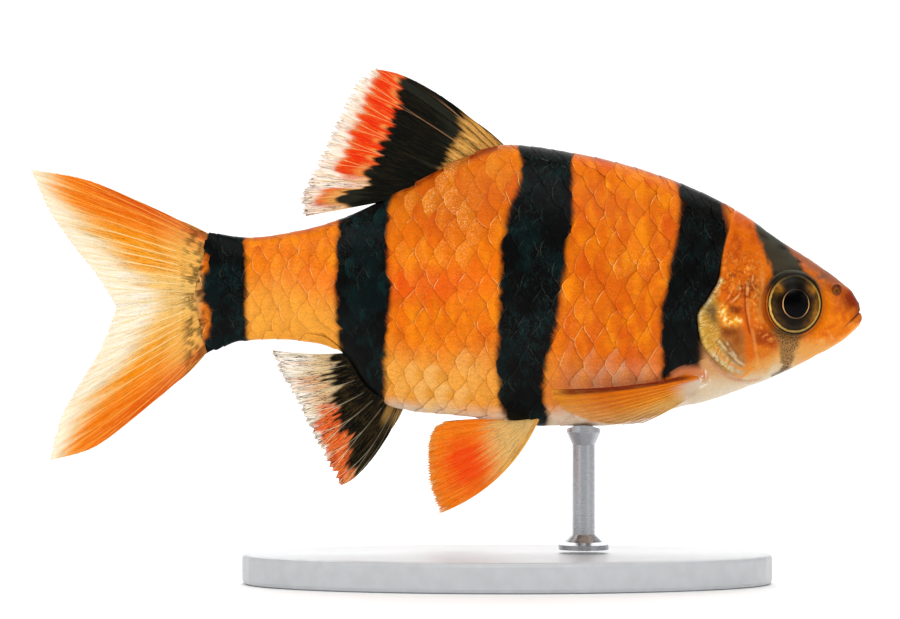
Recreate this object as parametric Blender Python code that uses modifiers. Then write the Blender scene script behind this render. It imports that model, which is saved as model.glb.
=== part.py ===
# Tiger barb, life size, held level on a flat base by one short rod.
# Lengths are in metres. +X is towards the snout, +Z is up, and the origin is on the floor
# under the middle of the model. Body places are given as s, the distance behind the snout
# tip, and h, the height above the mouth, both in millimetres.

import math

import bmesh
import bpy
from mathutils import Matrix, Vector

MM = 0.001
GAP = 0.3

# Driving sizes of the fish and of its stand, in millimetres.
TOTAL_LENGTH = 66.0
MOUTH_HEIGHT = 21.1
STEM_START = 42.0
BODY_END = 52.3
TAIL_ROOT_BULGE = 0.8
MEMBRANE = 0.5
RAY_DEPTH = 0.95
TIP_SHARE = 0.62
SNOUT_FRONT = 0.32
EYE_PLACE = (5.62, 1.04)
EYE_RADII = (2.42, 1.25, 2.6)
EYE_OUT = 2.15
EYE_TURN = 7.0
NOSTRIL_PLACE = (2.15, 2.3)
NOSTRIL_RADIUS = 0.42
MOUTH_FRONT = (-0.1, 0.5)
MOUTH_CORNER = (1.4, -0.8)
LIP_RADIUS = 0.36
UPPER_LIP_BACK = 0.14
MOUTH_SLIT = 0.22
GILL_COVER_RISE = 0.32
BASE_SIZE = (42.0, 23.0, 2.4)
ROD_RADIUS = 0.9
ROD_PLACE = 22.0

# The upper and lower outlines and the half width of the body: (s, size) pairs.
BACK = [
    (0.0, 0.45), (0.28, 1.2), (0.75, 1.8), (1.7, 2.85), (3.7, 4.3), (6.5, 6.1),
    (9.6, 8.3), (13.6, 10.3), (17.6, 11.75), (22.3, 12.9), (28.2, 13.65), (31.8, 12.55),
    (36.5, 10.05), (41.3, 7.75), (44.5, 6.85), (48.5, 6.3), (51.2, 6.65), (53.2, 7.2),
]
BELLY = [
    (0.0, -0.5), (0.28, -0.75), (0.75, -1.2), (1.7, -2.0), (3.7, -3.1), (6.5, -4.5),
    (9.6, -5.75), (13.6, -7.05), (17.6, -8.1), (20.7, -8.6), (25.5, -8.6), (31.8, -7.8),
    (36.4, -7.35), (39.2, -5.75), (41.3, -2.85), (43.1, -2.1), (46.2, -1.75),
    (49.2, -1.9), (51.2, -2.7), (53.2, -3.8),
]
HALF_WIDTH = [
    (0.0, 0.75), (0.28, 1.1), (0.75, 1.4), (1.7, 1.85), (3.7, 2.5), (6.5, 3.0),
    (9.6, 3.6), (13.6, 4.2), (17.6, 4.45), (22.3, 4.3), (28.0, 3.85), (33.0, 3.25),
    (38.0, 2.5), (43.0, 1.85), (48.0, 1.4), (53.2, 0.7),
]
WIDEST_SHARE = 0.48
BELLY_POWER = 2.2
BACK_POWER = 2.0

# The rear edge of the gill cover, from above the nape to below the throat: (s, h).
GILL_EDGE = [
    (9.0, 11.5), (9.9, 8.6), (11.0, 5.4), (11.4, 3.1), (12.5, 1.5), (12.95, 0.2),
    (12.7, -1.3), (11.7, -3.0), (10.3, -4.6), (9.0, -5.5), (7.4, -7.2),
]

# Each fin: the tips of its short leading rays, which share the first part of its root,
# then its edge from the longest ray to the last one, as (s, h), with the number of rays on
# that edge. Bow is how far the first and the last ray bend, as a share of their length.
LEADING_ROOT = 0.13
DORSAL = {
    "root": (28.5, 38.3), "leading": [(30.4, 15.35), (33.4, 17.6), (36.4, 19.2)],
    "edge": [(38.8, 19.55), (40.9, 16.1), (42.4, 13.4), (43.9, 10.4), (44.1, 8.3)],
    "rays": 9, "bow": (-0.03, 0.0),
}
ANAL = {
    "root": (36.5, 41.3), "leading": [(37.5, -9.2), (38.8, -11.3), (40.2, -12.8)],
    "edge": [(41.4, -13.5), (43.6, -9.4), (45.2, -6.0), (46.5, -3.9), (46.9, -2.6)],
    "rays": 7, "bow": (0.05, 0.03),
}
TAIL_UPPER = {
    "root": (0.98, 0.03), "leading": [(54.0, 7.65), (57.9, 9.45), (61.6, 10.95)],
    "edge": [(66.0, 11.75), (64.6, 8.6), (62.6, 5.7), (60.9, 3.6), (59.3, 1.5)],
    "rays": 9, "bow": (-0.02, 0.0),
}
TAIL_LOWER = {
    "root": (-0.98, -0.03), "leading": [(54.0, -5.0), (56.6, -7.2), (60.3, -9.8)],
    "edge": [(64.2, -11.3), (63.8, -8.6), (62.6, -6.2), (60.4, -2.6), (59.0, 0.9)],
    "rays": 8, "bow": (0.03, 0.0),
}
PELVIC = {
    "root": (25.9, 28.4), "root_out": (1.5, 0.8), "tip_out": (4.2, 1.3),
    "edge": [(33.6, -15.4), (34.3, -13.4), (34.4, -10.9), (34.0, -9.4), (33.0, -8.75)],
    "rays": 9, "bow": (0.11, -0.02),
}
PECTORAL = {
    "root": ((13.3, -4.5), (13.9, -6.3)), "tip_out": (5.9, 3.9),
    "edge": [(25.0, -5.6), (24.3, -6.9), (22.3, -7.9), (19.9, -8.4), (17.6, -8.3)],
    "rays": 10, "bow": (0.03, 0.03),
}
FIN_ROWS = 8
RIDGE_FOOT = 0.27
WEB_SHARE = 0.965

BODY_COLOUR = (0.90, 0.30, 0.03)
FIN_COLOUR = (0.93, 0.25, 0.05)
EYE_COLOUR = (0.04, 0.03, 0.02)
BASE_COLOUR = (0.78, 0.79, 0.80)
ROD_COLOUR = (0.66, 0.67, 0.69)


def clear_scene():
    for thing in list(bpy.data.objects):
        bpy.data.objects.remove(thing)


def new_collection(name):
    made = bpy.data.collections.new(name)
    bpy.context.scene.collection.children.link(made)
    return made


def material(name, colour, roughness, metallic=0.0):
    made = bpy.data.materials.new(name)
    made.use_nodes = True
    shader = made.node_tree.nodes["Principled BSDF"]
    shader.inputs["Base Color"].default_value = (*colour, 1.0)
    shader.inputs["Roughness"].default_value = roughness
    shader.inputs["Metallic"].default_value = metallic
    return made


def smooth_slopes(knots):
    """Slopes at the knots that keep the curve between them free of overshoot."""
    steps = [
        (b[1] - a[1]) / (b[0] - a[0]) for a, b in zip(knots, knots[1:])
    ]
    slopes = [steps[0]]
    for before, after in zip(steps, steps[1:]):
        same_way = before * after > 0
        slopes.append(2 * before * after / (before + after) if same_way else 0.0)
    slopes.append(steps[-1])
    return slopes


def read_profile(knots, s):
    """The height or width at s on the smooth curve through the knots."""
    slopes = smooth_slopes(knots)
    s = min(max(s, knots[0][0]), knots[-1][0])
    i = max(k for k in range(len(knots) - 1) if knots[k][0] <= s)
    (s0, v0), (s1, v1) = knots[i], knots[i + 1]
    span = s1 - s0
    t = (s - s0) / span
    rise = t * t * (3 - 2 * t)
    return (
        v0 * (1 - rise) + v1 * rise
        + span * slopes[i] * t * (1 - t) ** 2
        - span * slopes[i + 1] * t * t * (1 - t)
    )


def smooth_step(value, low, high):
    t = min(max((value - low) / (high - low), 0.0), 1.0)
    return t * t * (3 - 2 * t)


def curve_through(points, count):
    """count points, evenly spaced, on a smooth curve through the given points."""
    points = [Vector(p) for p in points]
    ends = [2 * points[0] - points[1], *points, 2 * points[-1] - points[-2]]
    fine = []
    for a, b, c, d in zip(ends, ends[1:], ends[2:], ends[3:]):
        for k in range(12):
            t = k / 12
            fine.append(0.5 * (
                2 * b + (c - a) * t + (2 * a - 5 * b + 4 * c - d) * t * t
                + (3 * b - a - 3 * c + d) * t ** 3
            ))
    fine.append(points[-1])
    reach = [0.0]
    for p, q in zip(fine, fine[1:]):
        reach.append(reach[-1] + (q - p).length)
    found, k = [], 0
    for i in range(count):
        wanted = reach[-1] * i / (count - 1)
        while k < len(fine) - 2 and reach[k + 1] < wanted:
            k += 1
        share = (wanted - reach[k]) / (reach[k + 1] - reach[k])
        found.append(fine[k].lerp(fine[k + 1], share))
    return found


def place(s, h, y=0.0):
    """A body place as a point of the model, in metres."""
    return Vector((TOTAL_LENGTH / 2 - s, y, MOUTH_HEIGHT + h)) * MM


def section(s):
    """The top, bottom, widest height and half width of the body at s."""
    top, bottom = read_profile(BACK, s), read_profile(BELLY, s)
    return top, bottom, bottom + (top - bottom) * WIDEST_SHARE, read_profile(HALF_WIDTH, s)


def flank_width(s, h):
    """The half width of the body at s and at the height h."""
    top, bottom, widest, half = section(s)
    share, power = (
        ((h - widest) / (top - widest), BACK_POWER) if h > widest
        else ((widest - h) / (widest - bottom), BELLY_POWER)
    )
    return half * max(0.0, 1 - min(share, 1.0) ** power) ** (1 / power)


def belly_height(s, y):
    """The height of the belly's skin at s and at y beside the middle."""
    _, bottom, widest, half = section(s)
    share = 1 - (min(abs(y) / half, 1.0)) ** BELLY_POWER
    return widest - (widest - bottom) * share ** (1 / BELLY_POWER)


def gill_cover_swell(s, h):
    """How far the gill cover stands out from the flank."""
    back = smooth_step(s, 9.3, 10.6) + 0.35 * math.exp(-(((s - 8.3) / 0.7) ** 2))
    above = 1 - smooth_step(h, 2.8, 6.0)
    below = smooth_step(h, -5.6, -3.6)
    return GILL_COVER_RISE * back * above * below


def body_ring(s, sides, swell=None, grow=0.0):
    """The points round the body at s, from its right side up over the back."""
    top, bottom, widest, half = section(s)
    ring = []
    for i in range(sides):
        angle = math.pi - 2 * math.pi * i / sides
        across, up = math.cos(angle), math.sin(angle)
        power, reach = (
            (BACK_POWER, top + grow - widest) if up > 0
            else (BELLY_POWER, widest - bottom + grow)
        )
        h = widest + math.copysign(abs(up) ** (2 / power), up) * reach
        y = (half + grow) * math.copysign(abs(across) ** (2 / power), across)
        if swell and abs(across) > 0.01:
            y += math.copysign(swell(s, h), y)
        bulge = TAIL_ROOT_BULGE * smooth_step(s, 48.5, BODY_END) * (1 - up * up)
        ring.append(place(s + bulge, h, y))
    return ring


def new_object(name, mesh, folder, look=None):
    made = bpy.data.objects.new(name, mesh)
    folder.objects.link(made)
    if look:
        made.data.materials.append(look)
    return made


def loft(name, rings, folder, look=None):
    """A closed body through rings of equal count, with flat ends."""
    shape = bmesh.new()
    loops = [[shape.verts.new(p) for p in ring] for ring in rings]
    count = len(loops[0])
    for a, b in zip(loops, loops[1:]):
        for i in range(count):
            j = (i + 1) % count
            shape.faces.new((a[i], a[j], b[j], b[i]))
    shape.faces.new(list(reversed(loops[0])))
    shape.faces.new(loops[-1])
    bmesh.ops.recalc_face_normals(shape, faces=shape.faces)
    mesh = bpy.data.meshes.new(name)
    shape.to_mesh(mesh)
    shape.free()
    return new_object(name, mesh, folder, look)


def as_mesh(thing, folder):
    """A closed mesh object in place of a curve object."""
    bpy.context.view_layer.update()
    graph = bpy.context.evaluated_depsgraph_get()
    mesh = bpy.data.meshes.new_from_object(thing.evaluated_get(graph))
    shape = bmesh.new()
    shape.from_mesh(mesh)
    bmesh.ops.remove_doubles(shape, verts=shape.verts, dist=1e-7)
    bmesh.ops.recalc_face_normals(shape, faces=shape.faces)
    shape.to_mesh(mesh)
    shape.free()
    name, world = thing.name, thing.matrix_world.copy()
    bpy.data.objects.remove(thing)
    made = new_object(name, mesh, folder)
    made.matrix_world = world
    return made


def spline_object(name, points, folder, flat=False):
    """A curve object with one poly spline, closed if it is a flat outline."""
    curve = bpy.data.curves.new(name, "CURVE")
    curve.dimensions = "2D" if flat else "3D"
    spline = curve.splines.new("POLY")
    spline.points.add(len(points) - 1)
    for target, p in zip(spline.points, points):
        target.co = (p[0], p[1], p[2], 1.0)
    spline.use_cyclic_u = flat
    return new_object(name, curve, folder)


def plate(name, outline, half_depth, folder):
    """A flat outline in the body's side view, made as deep as the body is wide."""
    points = [(*(place(s, h).xz), 0.0) for s, h in outline]
    thing = spline_object(name, points, folder, flat=True)
    thing.data.fill_mode = "BOTH"
    thing.data.extrude = half_depth * MM
    thing.rotation_euler = (math.pi / 2, 0.0, 0.0)
    return as_mesh(thing, folder)


def hide_cutter(thing):
    thing.hide_render = True
    thing.display_type = "WIRE"
    return thing


def ball(name, centre, radii, folder, look=None, segments=24, rings=12, turn=0.0):
    shape = bmesh.new()
    bmesh.ops.create_uvsphere(
        shape, u_segments=segments, v_segments=rings, radius=1.0,
        matrix=Matrix.Rotation(math.pi / 2, 4, "X"),
    )
    bmesh.ops.scale(shape, vec=Vector(radii) * MM, verts=shape.verts)
    mesh = bpy.data.meshes.new(name)
    shape.to_mesh(mesh)
    shape.free()
    made = new_object(name, mesh, folder, look)
    made.location = centre
    made.rotation_euler.z = math.radians(turn)
    return made


def boolean(thing, name, operation, cutter=None, group=None):
    step = thing.modifiers.new(name, "BOOLEAN")
    step.operation = operation
    step.solver = "EXACT"
    if group:
        step.operand_type = "COLLECTION"
        step.collection = group
    else:
        step.object = cutter
    return step


def join(thing, group):
    """Fuses the group's closed pieces into thing and removes them."""
    boolean(thing, "join", "UNION", group=group)
    bpy.context.view_layer.update()
    graph = bpy.context.evaluated_depsgraph_get()
    mesh = bpy.data.meshes.new_from_object(thing.evaluated_get(graph))
    thing.modifiers.clear()
    thing.data = mesh
    for piece in list(group.objects):
        bpy.data.objects.remove(piece)
    bpy.data.collections.remove(group)


def shade(thing, angle=40.0):
    thing.data.shade_smooth()
    thing.data.set_sharp_from_angle(angle=math.radians(angle))


def gill_outline(shift):
    """The side-view outline of all that lies in front of the gill edge moved back by shift."""
    edge = curve_through(GILL_EDGE, 36)
    moved = []
    for i, p in enumerate(edge):
        along = edge[min(i + 1, len(edge) - 1)] - edge[max(i - 1, 0)]
        outward = Vector((-along.y, along.x)).normalized()
        moved.append(p + outward * shift)
    top, bottom = moved[0].y, moved[-1].y
    return [(-3.0, top), *[tuple(p) for p in moved], (-3.0, bottom)]


def head_stations():
    reach = 4.2 - SNOUT_FRONT
    front = [SNOUT_FRONT + reach * (1 - math.cos(math.pi / 2 * i / 10)) for i in range(10)]
    return front + [4.2 + 0.56 * i for i in range(7)] + [8.1 + 0.48 * i for i in range(12)]


def mouth_height(s):
    """The height of the slit between the lips at s."""
    (s0, h0), (s1, h1) = MOUTH_FRONT, MOUTH_CORNER
    return h0 + (h1 - h0) * (s - s0) / (s1 - s0)


def lip(name, side, group):
    """One lip, a tube that rounds the snout from corner to corner of the mouth."""
    length = MOUTH_CORNER[0] - MOUTH_FRONT[0]
    wide = flank_width(MOUTH_CORNER[0], MOUTH_CORNER[1]) - 0.12
    points = []
    for i in range(15):
        angle = math.radians(-84 + 12 * i)
        s = MOUTH_CORNER[0] - (length - 0.42) * math.cos(angle)
        s += UPPER_LIP_BACK if side > 0 else 0.0
        lift = side * (LIP_RADIUS * 0.72 + MOUTH_SLIT / 2)
        points.append(place(s, mouth_height(s) + lift, wide * math.sin(angle)))
    tube = spline_object(name, points, group)
    tube.data.bevel_depth = LIP_RADIUS * MM
    tube.data.bevel_resolution = 2
    tube.data.use_fill_caps = True
    return as_mesh(tube, group)


def nostril_rim(name, side, group):
    s, h = NOSTRIL_PLACE
    bpy.ops.mesh.primitive_torus_add(
        major_segments=14, minor_segments=8, major_radius=NOSTRIL_RADIUS * MM,
        minor_radius=0.17 * MM, location=place(s, h, side * flank_width(s, h)),
        rotation=(math.radians(90 - side * 28), 0.0, 0.0),
    )
    rim = bpy.context.object
    rim.name = name
    for owner in list(rim.users_collection):
        owner.objects.unlink(rim)
    group.objects.link(rim)
    return rim


def mouth_cutter(folder):
    """A thin wedge along the mouth, open at the front and closed at its corners."""
    (s0, h0), (s1, h1) = MOUTH_FRONT, MOUTH_CORNER
    half = MOUTH_SLIT / 2
    outline = [
        (s0 - 1.2, mouth_height(s0 - 1.2) - half), (s1, h1 - half * 0.6),
        (s1, h1 + half * 0.6), (s0 - 1.2, mouth_height(s0 - 1.2) + half),
    ]
    return plate("cut_mouth", outline, 3.0, folder)


def build_head(fish, cutters, look):
    rings = [body_ring(s, 36, gill_cover_swell) for s in head_stations()]
    head = loft("head", rings, fish, look)
    pieces = new_collection("head_pieces")
    lip("lip_upper", 1, pieces)
    lip("lip_lower", -1, pieces)
    for side in (-1, 1):
        nostril_rim(f"nostril_rim_{side}", side, pieces)
    join(head, pieces)
    cuts = bpy.data.collections.new("head_cuts")
    cutters.children.link(cuts)
    hide_cutter(mouth_cutter(cuts))
    s, h = EYE_PLACE
    for side in (-1, 1):
        socket = ball(
            f"cut_socket_{side}", place(s, h, side * EYE_OUT),
            [r + GAP for r in EYE_RADII], cuts, turn=-side * EYE_TURN,
        )
        hide_cutter(socket)
        ns, nh = NOSTRIL_PLACE
        pit = ball(
            f"cut_nostril_{side}", place(ns, nh, side * flank_width(ns, nh)),
            [NOSTRIL_RADIUS * 0.75] * 3, cuts, segments=12, rings=8,
        )
        hide_cutter(pit)
    boolean(head, "cuts", "DIFFERENCE", group=cuts)
    front = hide_cutter(plate("keep_front", gill_outline(0.0), 8.0, cutters))
    boolean(head, "gill_edge", "INTERSECT", front)
    shade(head)
    return head


def build_torso(fish, cutters, look):
    stations = [6.9 + 0.7 * i for i in range(12)]
    stations += [14.9 + (STEM_START - 14.9) * i / 19 for i in range(20)]
    torso = loft("torso", [body_ring(s, 36) for s in stations], fish, look)
    front = hide_cutter(plate("cut_front", gill_outline(GAP), 8.0, cutters))
    boolean(torso, "gill_edge", "DIFFERENCE", front)
    shade(torso)
    return torso


def build_tail_stem(fish, look):
    start = STEM_START + GAP
    stations = [start + (BODY_END - start) * i / 12 for i in range(13)]
    stem = loft("tail_stem", [body_ring(s, 28) for s in stations], fish, look)
    shade(stem)
    return stem


def build_eyes(fish, look):
    s, h = EYE_PLACE
    for side, name in ((-1, "eye_right"), (1, "eye_left")):
        eye = ball(
            name, place(s, h, side * EYE_OUT), EYE_RADII, fish, look, turn=-side * EYE_TURN,
        )
        eye.data.shade_smooth()


def spread(first_last, share):
    first, last = first_last
    return first + (last - first) * share


def fan_rays(roots, tips, bows):
    """Rays as (root, tip, bow vector); the bow bends the middle of each ray."""
    rays = []
    for k, (root, tip) in enumerate(zip(roots, tips)):
        along = tip - root
        side = Vector((-along.z, 0.0, along.x))
        rays.append((root, tip, side * spread(bows, k / (len(tips) - 1))))
    return rays


def ray_point(rays, place_on_fan, t):
    """A point of the fan, between two rays where place_on_fan isn't whole."""
    k = min(int(place_on_fan), len(rays) - 2)
    share = place_on_fan - k
    root, tip, bow = (rays[k][i].lerp(rays[k + 1][i], share) for i in range(3))
    return root.lerp(tip, t) + bow * 4 * t * (1 - t)


def fan_columns(count):
    """(place on the fan, is on a ray) of each column: a ray and the two feet of its ridge."""
    columns = []
    for k in range(count):
        for offset in (-RIDGE_FOOT, 0.0, RIDGE_FOOT):
            if 0 <= k + offset <= count - 1:
                columns.append((k + offset, offset == 0.0))
    return columns


def build_fin(name, rays, fish, look, rows=FIN_ROWS):
    """A membrane with each ray raised as a ridge in its own surface."""
    columns = fan_columns(len(rays))
    mesh = bpy.data.meshes.new(name)
    shape = bmesh.new()
    grid, depths = [], []
    for i in range(rows + 1):
        t = i / rows
        taper = 1 - (1 - TIP_SHARE) * smooth_step(t, 0.3, 1.0)
        ridge = smooth_step(t, -0.1, 0.2)
        line = []
        for where, on_ray in columns:
            reach = t if on_ray else t * (1 - (1 - WEB_SHARE) * smooth_step(t, 0.5, 1.0))
            line.append(shape.verts.new(ray_point(rays, where, reach)))
            depth = MEMBRANE + (RAY_DEPTH - MEMBRANE) * (ridge if on_ray else 0.0)
            depths.append(depth * taper / RAY_DEPTH)
        grid.append(line)
    for low, high in zip(grid, grid[1:]):
        for j in range(len(columns) - 1):
            shape.faces.new((low[j], low[j + 1], high[j + 1]))
            shape.faces.new((low[j], high[j + 1], high[j]))
    shape.to_mesh(mesh)
    shape.free()
    fin = new_object(name, mesh, fish, look)
    weights = fin.vertex_groups.new(name="depth")
    for index, depth in enumerate(depths):
        weights.add([index], depth, "REPLACE")
    skin = fin.modifiers.new("depth", "SOLIDIFY")
    skin.thickness = RAY_DEPTH * MM
    skin.offset = 0.0
    skin.vertex_group = "depth"
    skin.use_even_offset = False
    shade(fin, 60.0)
    return fin


def profile_root(knots, s, away):
    """A point GAP off the outline at s, on the side that away names."""
    slope = (read_profile(knots, s + 0.05) - read_profile(knots, s - 0.05)) / 0.1
    normal = Vector((-slope, 1.0)).normalized() * away
    return place(s + normal.x * GAP, read_profile(knots, s) + normal.y * GAP)


def fin_tips(spec):
    edge = curve_through(spec["edge"], spec["rays"])
    return [place(s, h) for s, h in [*spec.get("leading", []), *edge]]


def root_share(spec, k):
    """How far along the root ray k starts; the short leading rays stand close together."""
    leading = len(spec["leading"])
    if k < leading:
        return LEADING_ROOT * k / leading
    return LEADING_ROOT + (1 - LEADING_ROOT) * (k - leading) / (spec["rays"] - 1)


def build_median_fin(name, spec, knots, away, fish, look):
    tips = fin_tips(spec)
    roots = [
        profile_root(knots, spread(spec["root"], root_share(spec, k)), away)
        for k in range(len(tips))
    ]
    return build_fin(name, fan_rays(roots, tips, spec["bow"]), fish, look)


def tail_root(share):
    """A point GAP behind the rounded end of the tail stem; share runs from -1 to 1."""
    top, bottom, widest, _ = section(BODY_END)
    reach = top - widest if share > 0 else widest - bottom
    h = widest + reach * share
    bulge = TAIL_ROOT_BULGE * (1 - share * share)
    return place(BODY_END + bulge + GAP, h)


def build_tail_lobe(name, spec, fish, look):
    tips = fin_tips(spec)
    roots = [tail_root(spread(spec["root"], root_share(spec, k))) for k in range(len(tips))]
    return build_fin(name, fan_rays(roots, tips, spec["bow"]), fish, look, FIN_ROWS + 1)


def build_pelvic_fin(name, side, fish, look):
    tips, roots = [], []
    edge = curve_through(PELVIC["edge"], PELVIC["rays"])
    for k, (s, h) in enumerate(edge):
        share = k / (PELVIC["rays"] - 1)
        tips.append(place(s, h, side * spread(PELVIC["tip_out"], share)))
        root_s = spread(PELVIC["root"], share)
        out = spread(PELVIC["root_out"], share)
        roots.append(place(root_s, belly_height(root_s, out) - GAP - 0.1, side * out))
    return build_fin(name, fan_rays(roots, tips, PELVIC["bow"]), fish, look, 7)


def build_pectoral_fin(name, side, fish, look):
    tips, roots = [], []
    edge = curve_through(PECTORAL["edge"], PECTORAL["rays"])
    (s0, h0), (s1, h1) = PECTORAL["root"]
    for k, (s, h) in enumerate(edge):
        share = k / (PECTORAL["rays"] - 1)
        tips.append(place(s, h, side * spread(PECTORAL["tip_out"], share)))
        root_s, root_h = spread((s0, s1), share), spread((h0, h1), share)
        out = flank_width(root_s, root_h) + GAP + RAY_DEPTH / 2
        roots.append(place(root_s, root_h, side * out))
    return build_fin(name, fan_rays(roots, tips, PECTORAL["bow"]), fish, look, 7)


def build_stand(fish, cutters, base_look, rod_look):
    rod_x = place(ROD_PLACE, 0).x
    bpy.ops.mesh.primitive_cylinder_add(vertices=48, radius=0.5, depth=1.0)
    base = bpy.context.object
    base.name = base.data.name = "stand_base"
    for owner in list(base.users_collection):
        owner.objects.unlink(base)
    fish.objects.link(base)
    base.data.transform(Matrix.Diagonal((*(Vector(BASE_SIZE) * MM), 1.0)))
    base.data.materials.append(base_look)
    base.location = (rod_x * 0.45, 0.0, BASE_SIZE[2] / 2 * MM)
    edge = base.modifiers.new("edge", "BEVEL")
    edge.width = 0.35 * MM
    edge.segments = 2
    edge.limit_method = "ANGLE"
    edge.angle_limit = math.radians(50)
    shade(base, 50.0)

    foot = BASE_SIZE[2] + GAP
    head = MOUTH_HEIGHT + read_profile(BELLY, ROD_PLACE) + 0.7
    profile = [
        (0.0, head), (ROD_RADIUS * 1.5, head), (ROD_RADIUS * 1.5, head - 1.2),
        (ROD_RADIUS, head - 2.2), (ROD_RADIUS, foot + 1.2), (ROD_RADIUS * 1.7, foot + 0.6),
        (ROD_RADIUS * 2.2, foot + 0.4), (ROD_RADIUS * 2.2, foot), (0.0, foot),
    ]
    turned = bpy.data.meshes.new("stand_rod")
    turned.from_pydata(
        [(r * MM, 0.0, z * MM) for r, z in profile],
        [(i, i + 1) for i in range(len(profile) - 1)], [],
    )
    rod = new_object("stand_rod", turned, fish, rod_look)
    rod.location.x = rod_x
    turn = rod.modifiers.new("turn", "SCREW")
    turn.steps = turn.render_steps = 24
    turn.use_merge_vertices = True
    turn.merge_threshold = 1e-6
    turn.use_smooth_shade = True
    stations = [ROD_PLACE - 4 + 0.8 * i for i in range(11)]
    rings = [body_ring(s, 36, grow=GAP) for s in stations]
    boolean(rod, "cradle", "DIFFERENCE", hide_cutter(loft("cut_belly", rings, cutters)))


def main():
    clear_scene()
    fish = new_collection("tiger_barb")
    cutters = new_collection("cutters")
    body = material("body", BODY_COLOUR, 0.35)
    fins = material("fins", FIN_COLOUR, 0.4)
    eyes = material("eyes", EYE_COLOUR, 0.08)
    base = material("base", BASE_COLOUR, 0.45)
    rod = material("rod", ROD_COLOUR, 0.3, metallic=1.0)
    build_head(fish, cutters, body)
    build_torso(fish, cutters, body)
    build_tail_stem(fish, body)
    build_eyes(fish, eyes)
    build_median_fin("dorsal_fin", DORSAL, BACK, 1, fish, fins)
    build_median_fin("anal_fin", ANAL, BELLY, -1, fish, fins)
    build_tail_lobe("tail_fin_upper", TAIL_UPPER, fish, fins)
    build_tail_lobe("tail_fin_lower", TAIL_LOWER, fish, fins)
    for side, word in ((-1, "right"), (1, "left")):
        build_pelvic_fin(f"pelvic_fin_{word}", side, fish, fins)
        build_pectoral_fin(f"pectoral_fin_{word}", side, fish, fins)
    build_stand(fish, cutters, base, rod)


main()
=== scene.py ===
import math

import bpy
import numpy as np
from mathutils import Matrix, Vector


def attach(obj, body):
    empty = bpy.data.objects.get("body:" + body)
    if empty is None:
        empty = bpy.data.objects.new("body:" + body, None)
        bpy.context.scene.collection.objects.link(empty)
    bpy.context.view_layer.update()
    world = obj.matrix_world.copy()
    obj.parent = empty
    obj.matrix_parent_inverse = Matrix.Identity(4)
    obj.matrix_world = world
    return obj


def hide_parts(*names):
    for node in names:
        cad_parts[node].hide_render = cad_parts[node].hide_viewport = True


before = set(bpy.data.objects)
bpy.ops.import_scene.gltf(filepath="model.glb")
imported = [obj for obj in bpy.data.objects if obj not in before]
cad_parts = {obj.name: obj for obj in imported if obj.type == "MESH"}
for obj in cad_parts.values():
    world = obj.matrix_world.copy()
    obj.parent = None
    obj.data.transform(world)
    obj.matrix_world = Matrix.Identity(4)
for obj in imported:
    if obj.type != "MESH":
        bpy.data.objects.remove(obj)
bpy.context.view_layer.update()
print("frame loaded:", len(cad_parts), "solids")

mm = 0.001

# The body's own measures, as in the solids: s is the way back from the snout tip and
# h the height above the mouth, both in millimetres.
body = {
    "length": 66.0,
    "mouthHeight": 21.1,
    "widestShare": 0.48,
    "bellyPower": 2.2,
    "backPower": 2.0,
    "endBulge": 0.8,
    "end": 52.3,
    "tailTaper": 0.76,
    "back": [
        (0.0, 0.45), (0.28, 1.2), (0.75, 1.8), (1.7, 2.85), (3.7, 4.3), (6.5, 6.1),
        (9.6, 8.3), (13.6, 10.3), (17.6, 11.75), (22.3, 12.9), (28.2, 13.65), (31.8, 12.55),
        (36.5, 10.05), (41.3, 7.75), (44.5, 6.85), (48.5, 6.3), (51.2, 6.65), (53.2, 7.2),
    ],
    "belly": [
        (0.0, -0.5), (0.28, -0.75), (0.75, -1.2), (1.7, -2.0), (3.7, -3.1), (6.5, -4.5),
        (9.6, -5.75), (13.6, -7.05), (17.6, -8.1), (20.7, -8.6), (25.5, -8.6), (31.8, -7.8),
        (36.4, -7.35), (39.2, -5.75), (41.3, -2.85), (43.1, -2.1), (46.2, -1.75),
        (49.2, -1.9), (51.2, -2.7), (53.2, -3.8),
    ],
    "halfWidth": [
        (0.0, 0.75), (0.28, 1.1), (0.75, 1.4), (1.7, 1.85), (3.7, 2.5), (6.5, 3.0),
        (9.6, 3.6), (13.6, 4.2), (17.6, 4.45), (22.3, 4.3), (28.0, 3.85), (33.0, 3.25),
        (38.0, 2.5), (43.0, 1.85), (48.0, 1.4), (53.2, 0.7),
    ],
}


def toWorld(s, h, y):
    return np.stack([body["length"] / 2 - s, y, body["mouthHeight"] + h], -1) * mm


def ramp(value, low, high):
    # 0 up to low and 1 from high on, with a soft slope between.
    t = np.clip((value - low) / (high - low), 0.0, 1.0)
    return t * t * (3 - 2 * t)


def fade(value, low, high):
    # The other way round: 1 up to low and 0 from high on.
    return 1 - ramp(value, low, high)


def bell(offset, width):
    # 1 where offset is 0, falling off softly on both sides.
    return np.exp(-(offset / width) ** 2)


def lineAt(x, line):
    # Straight from each (x, value) pair to the next.
    xs, values = np.array(line).T
    return np.interp(x, xs, values)


def partWay(pair, share):
    return pair[0] + (pair[1] - pair[0]) * share


def unit(vectors):
    return vectors / (np.linalg.norm(vectors, axis=-1, keepdims=True) + 1e-12)


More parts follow.
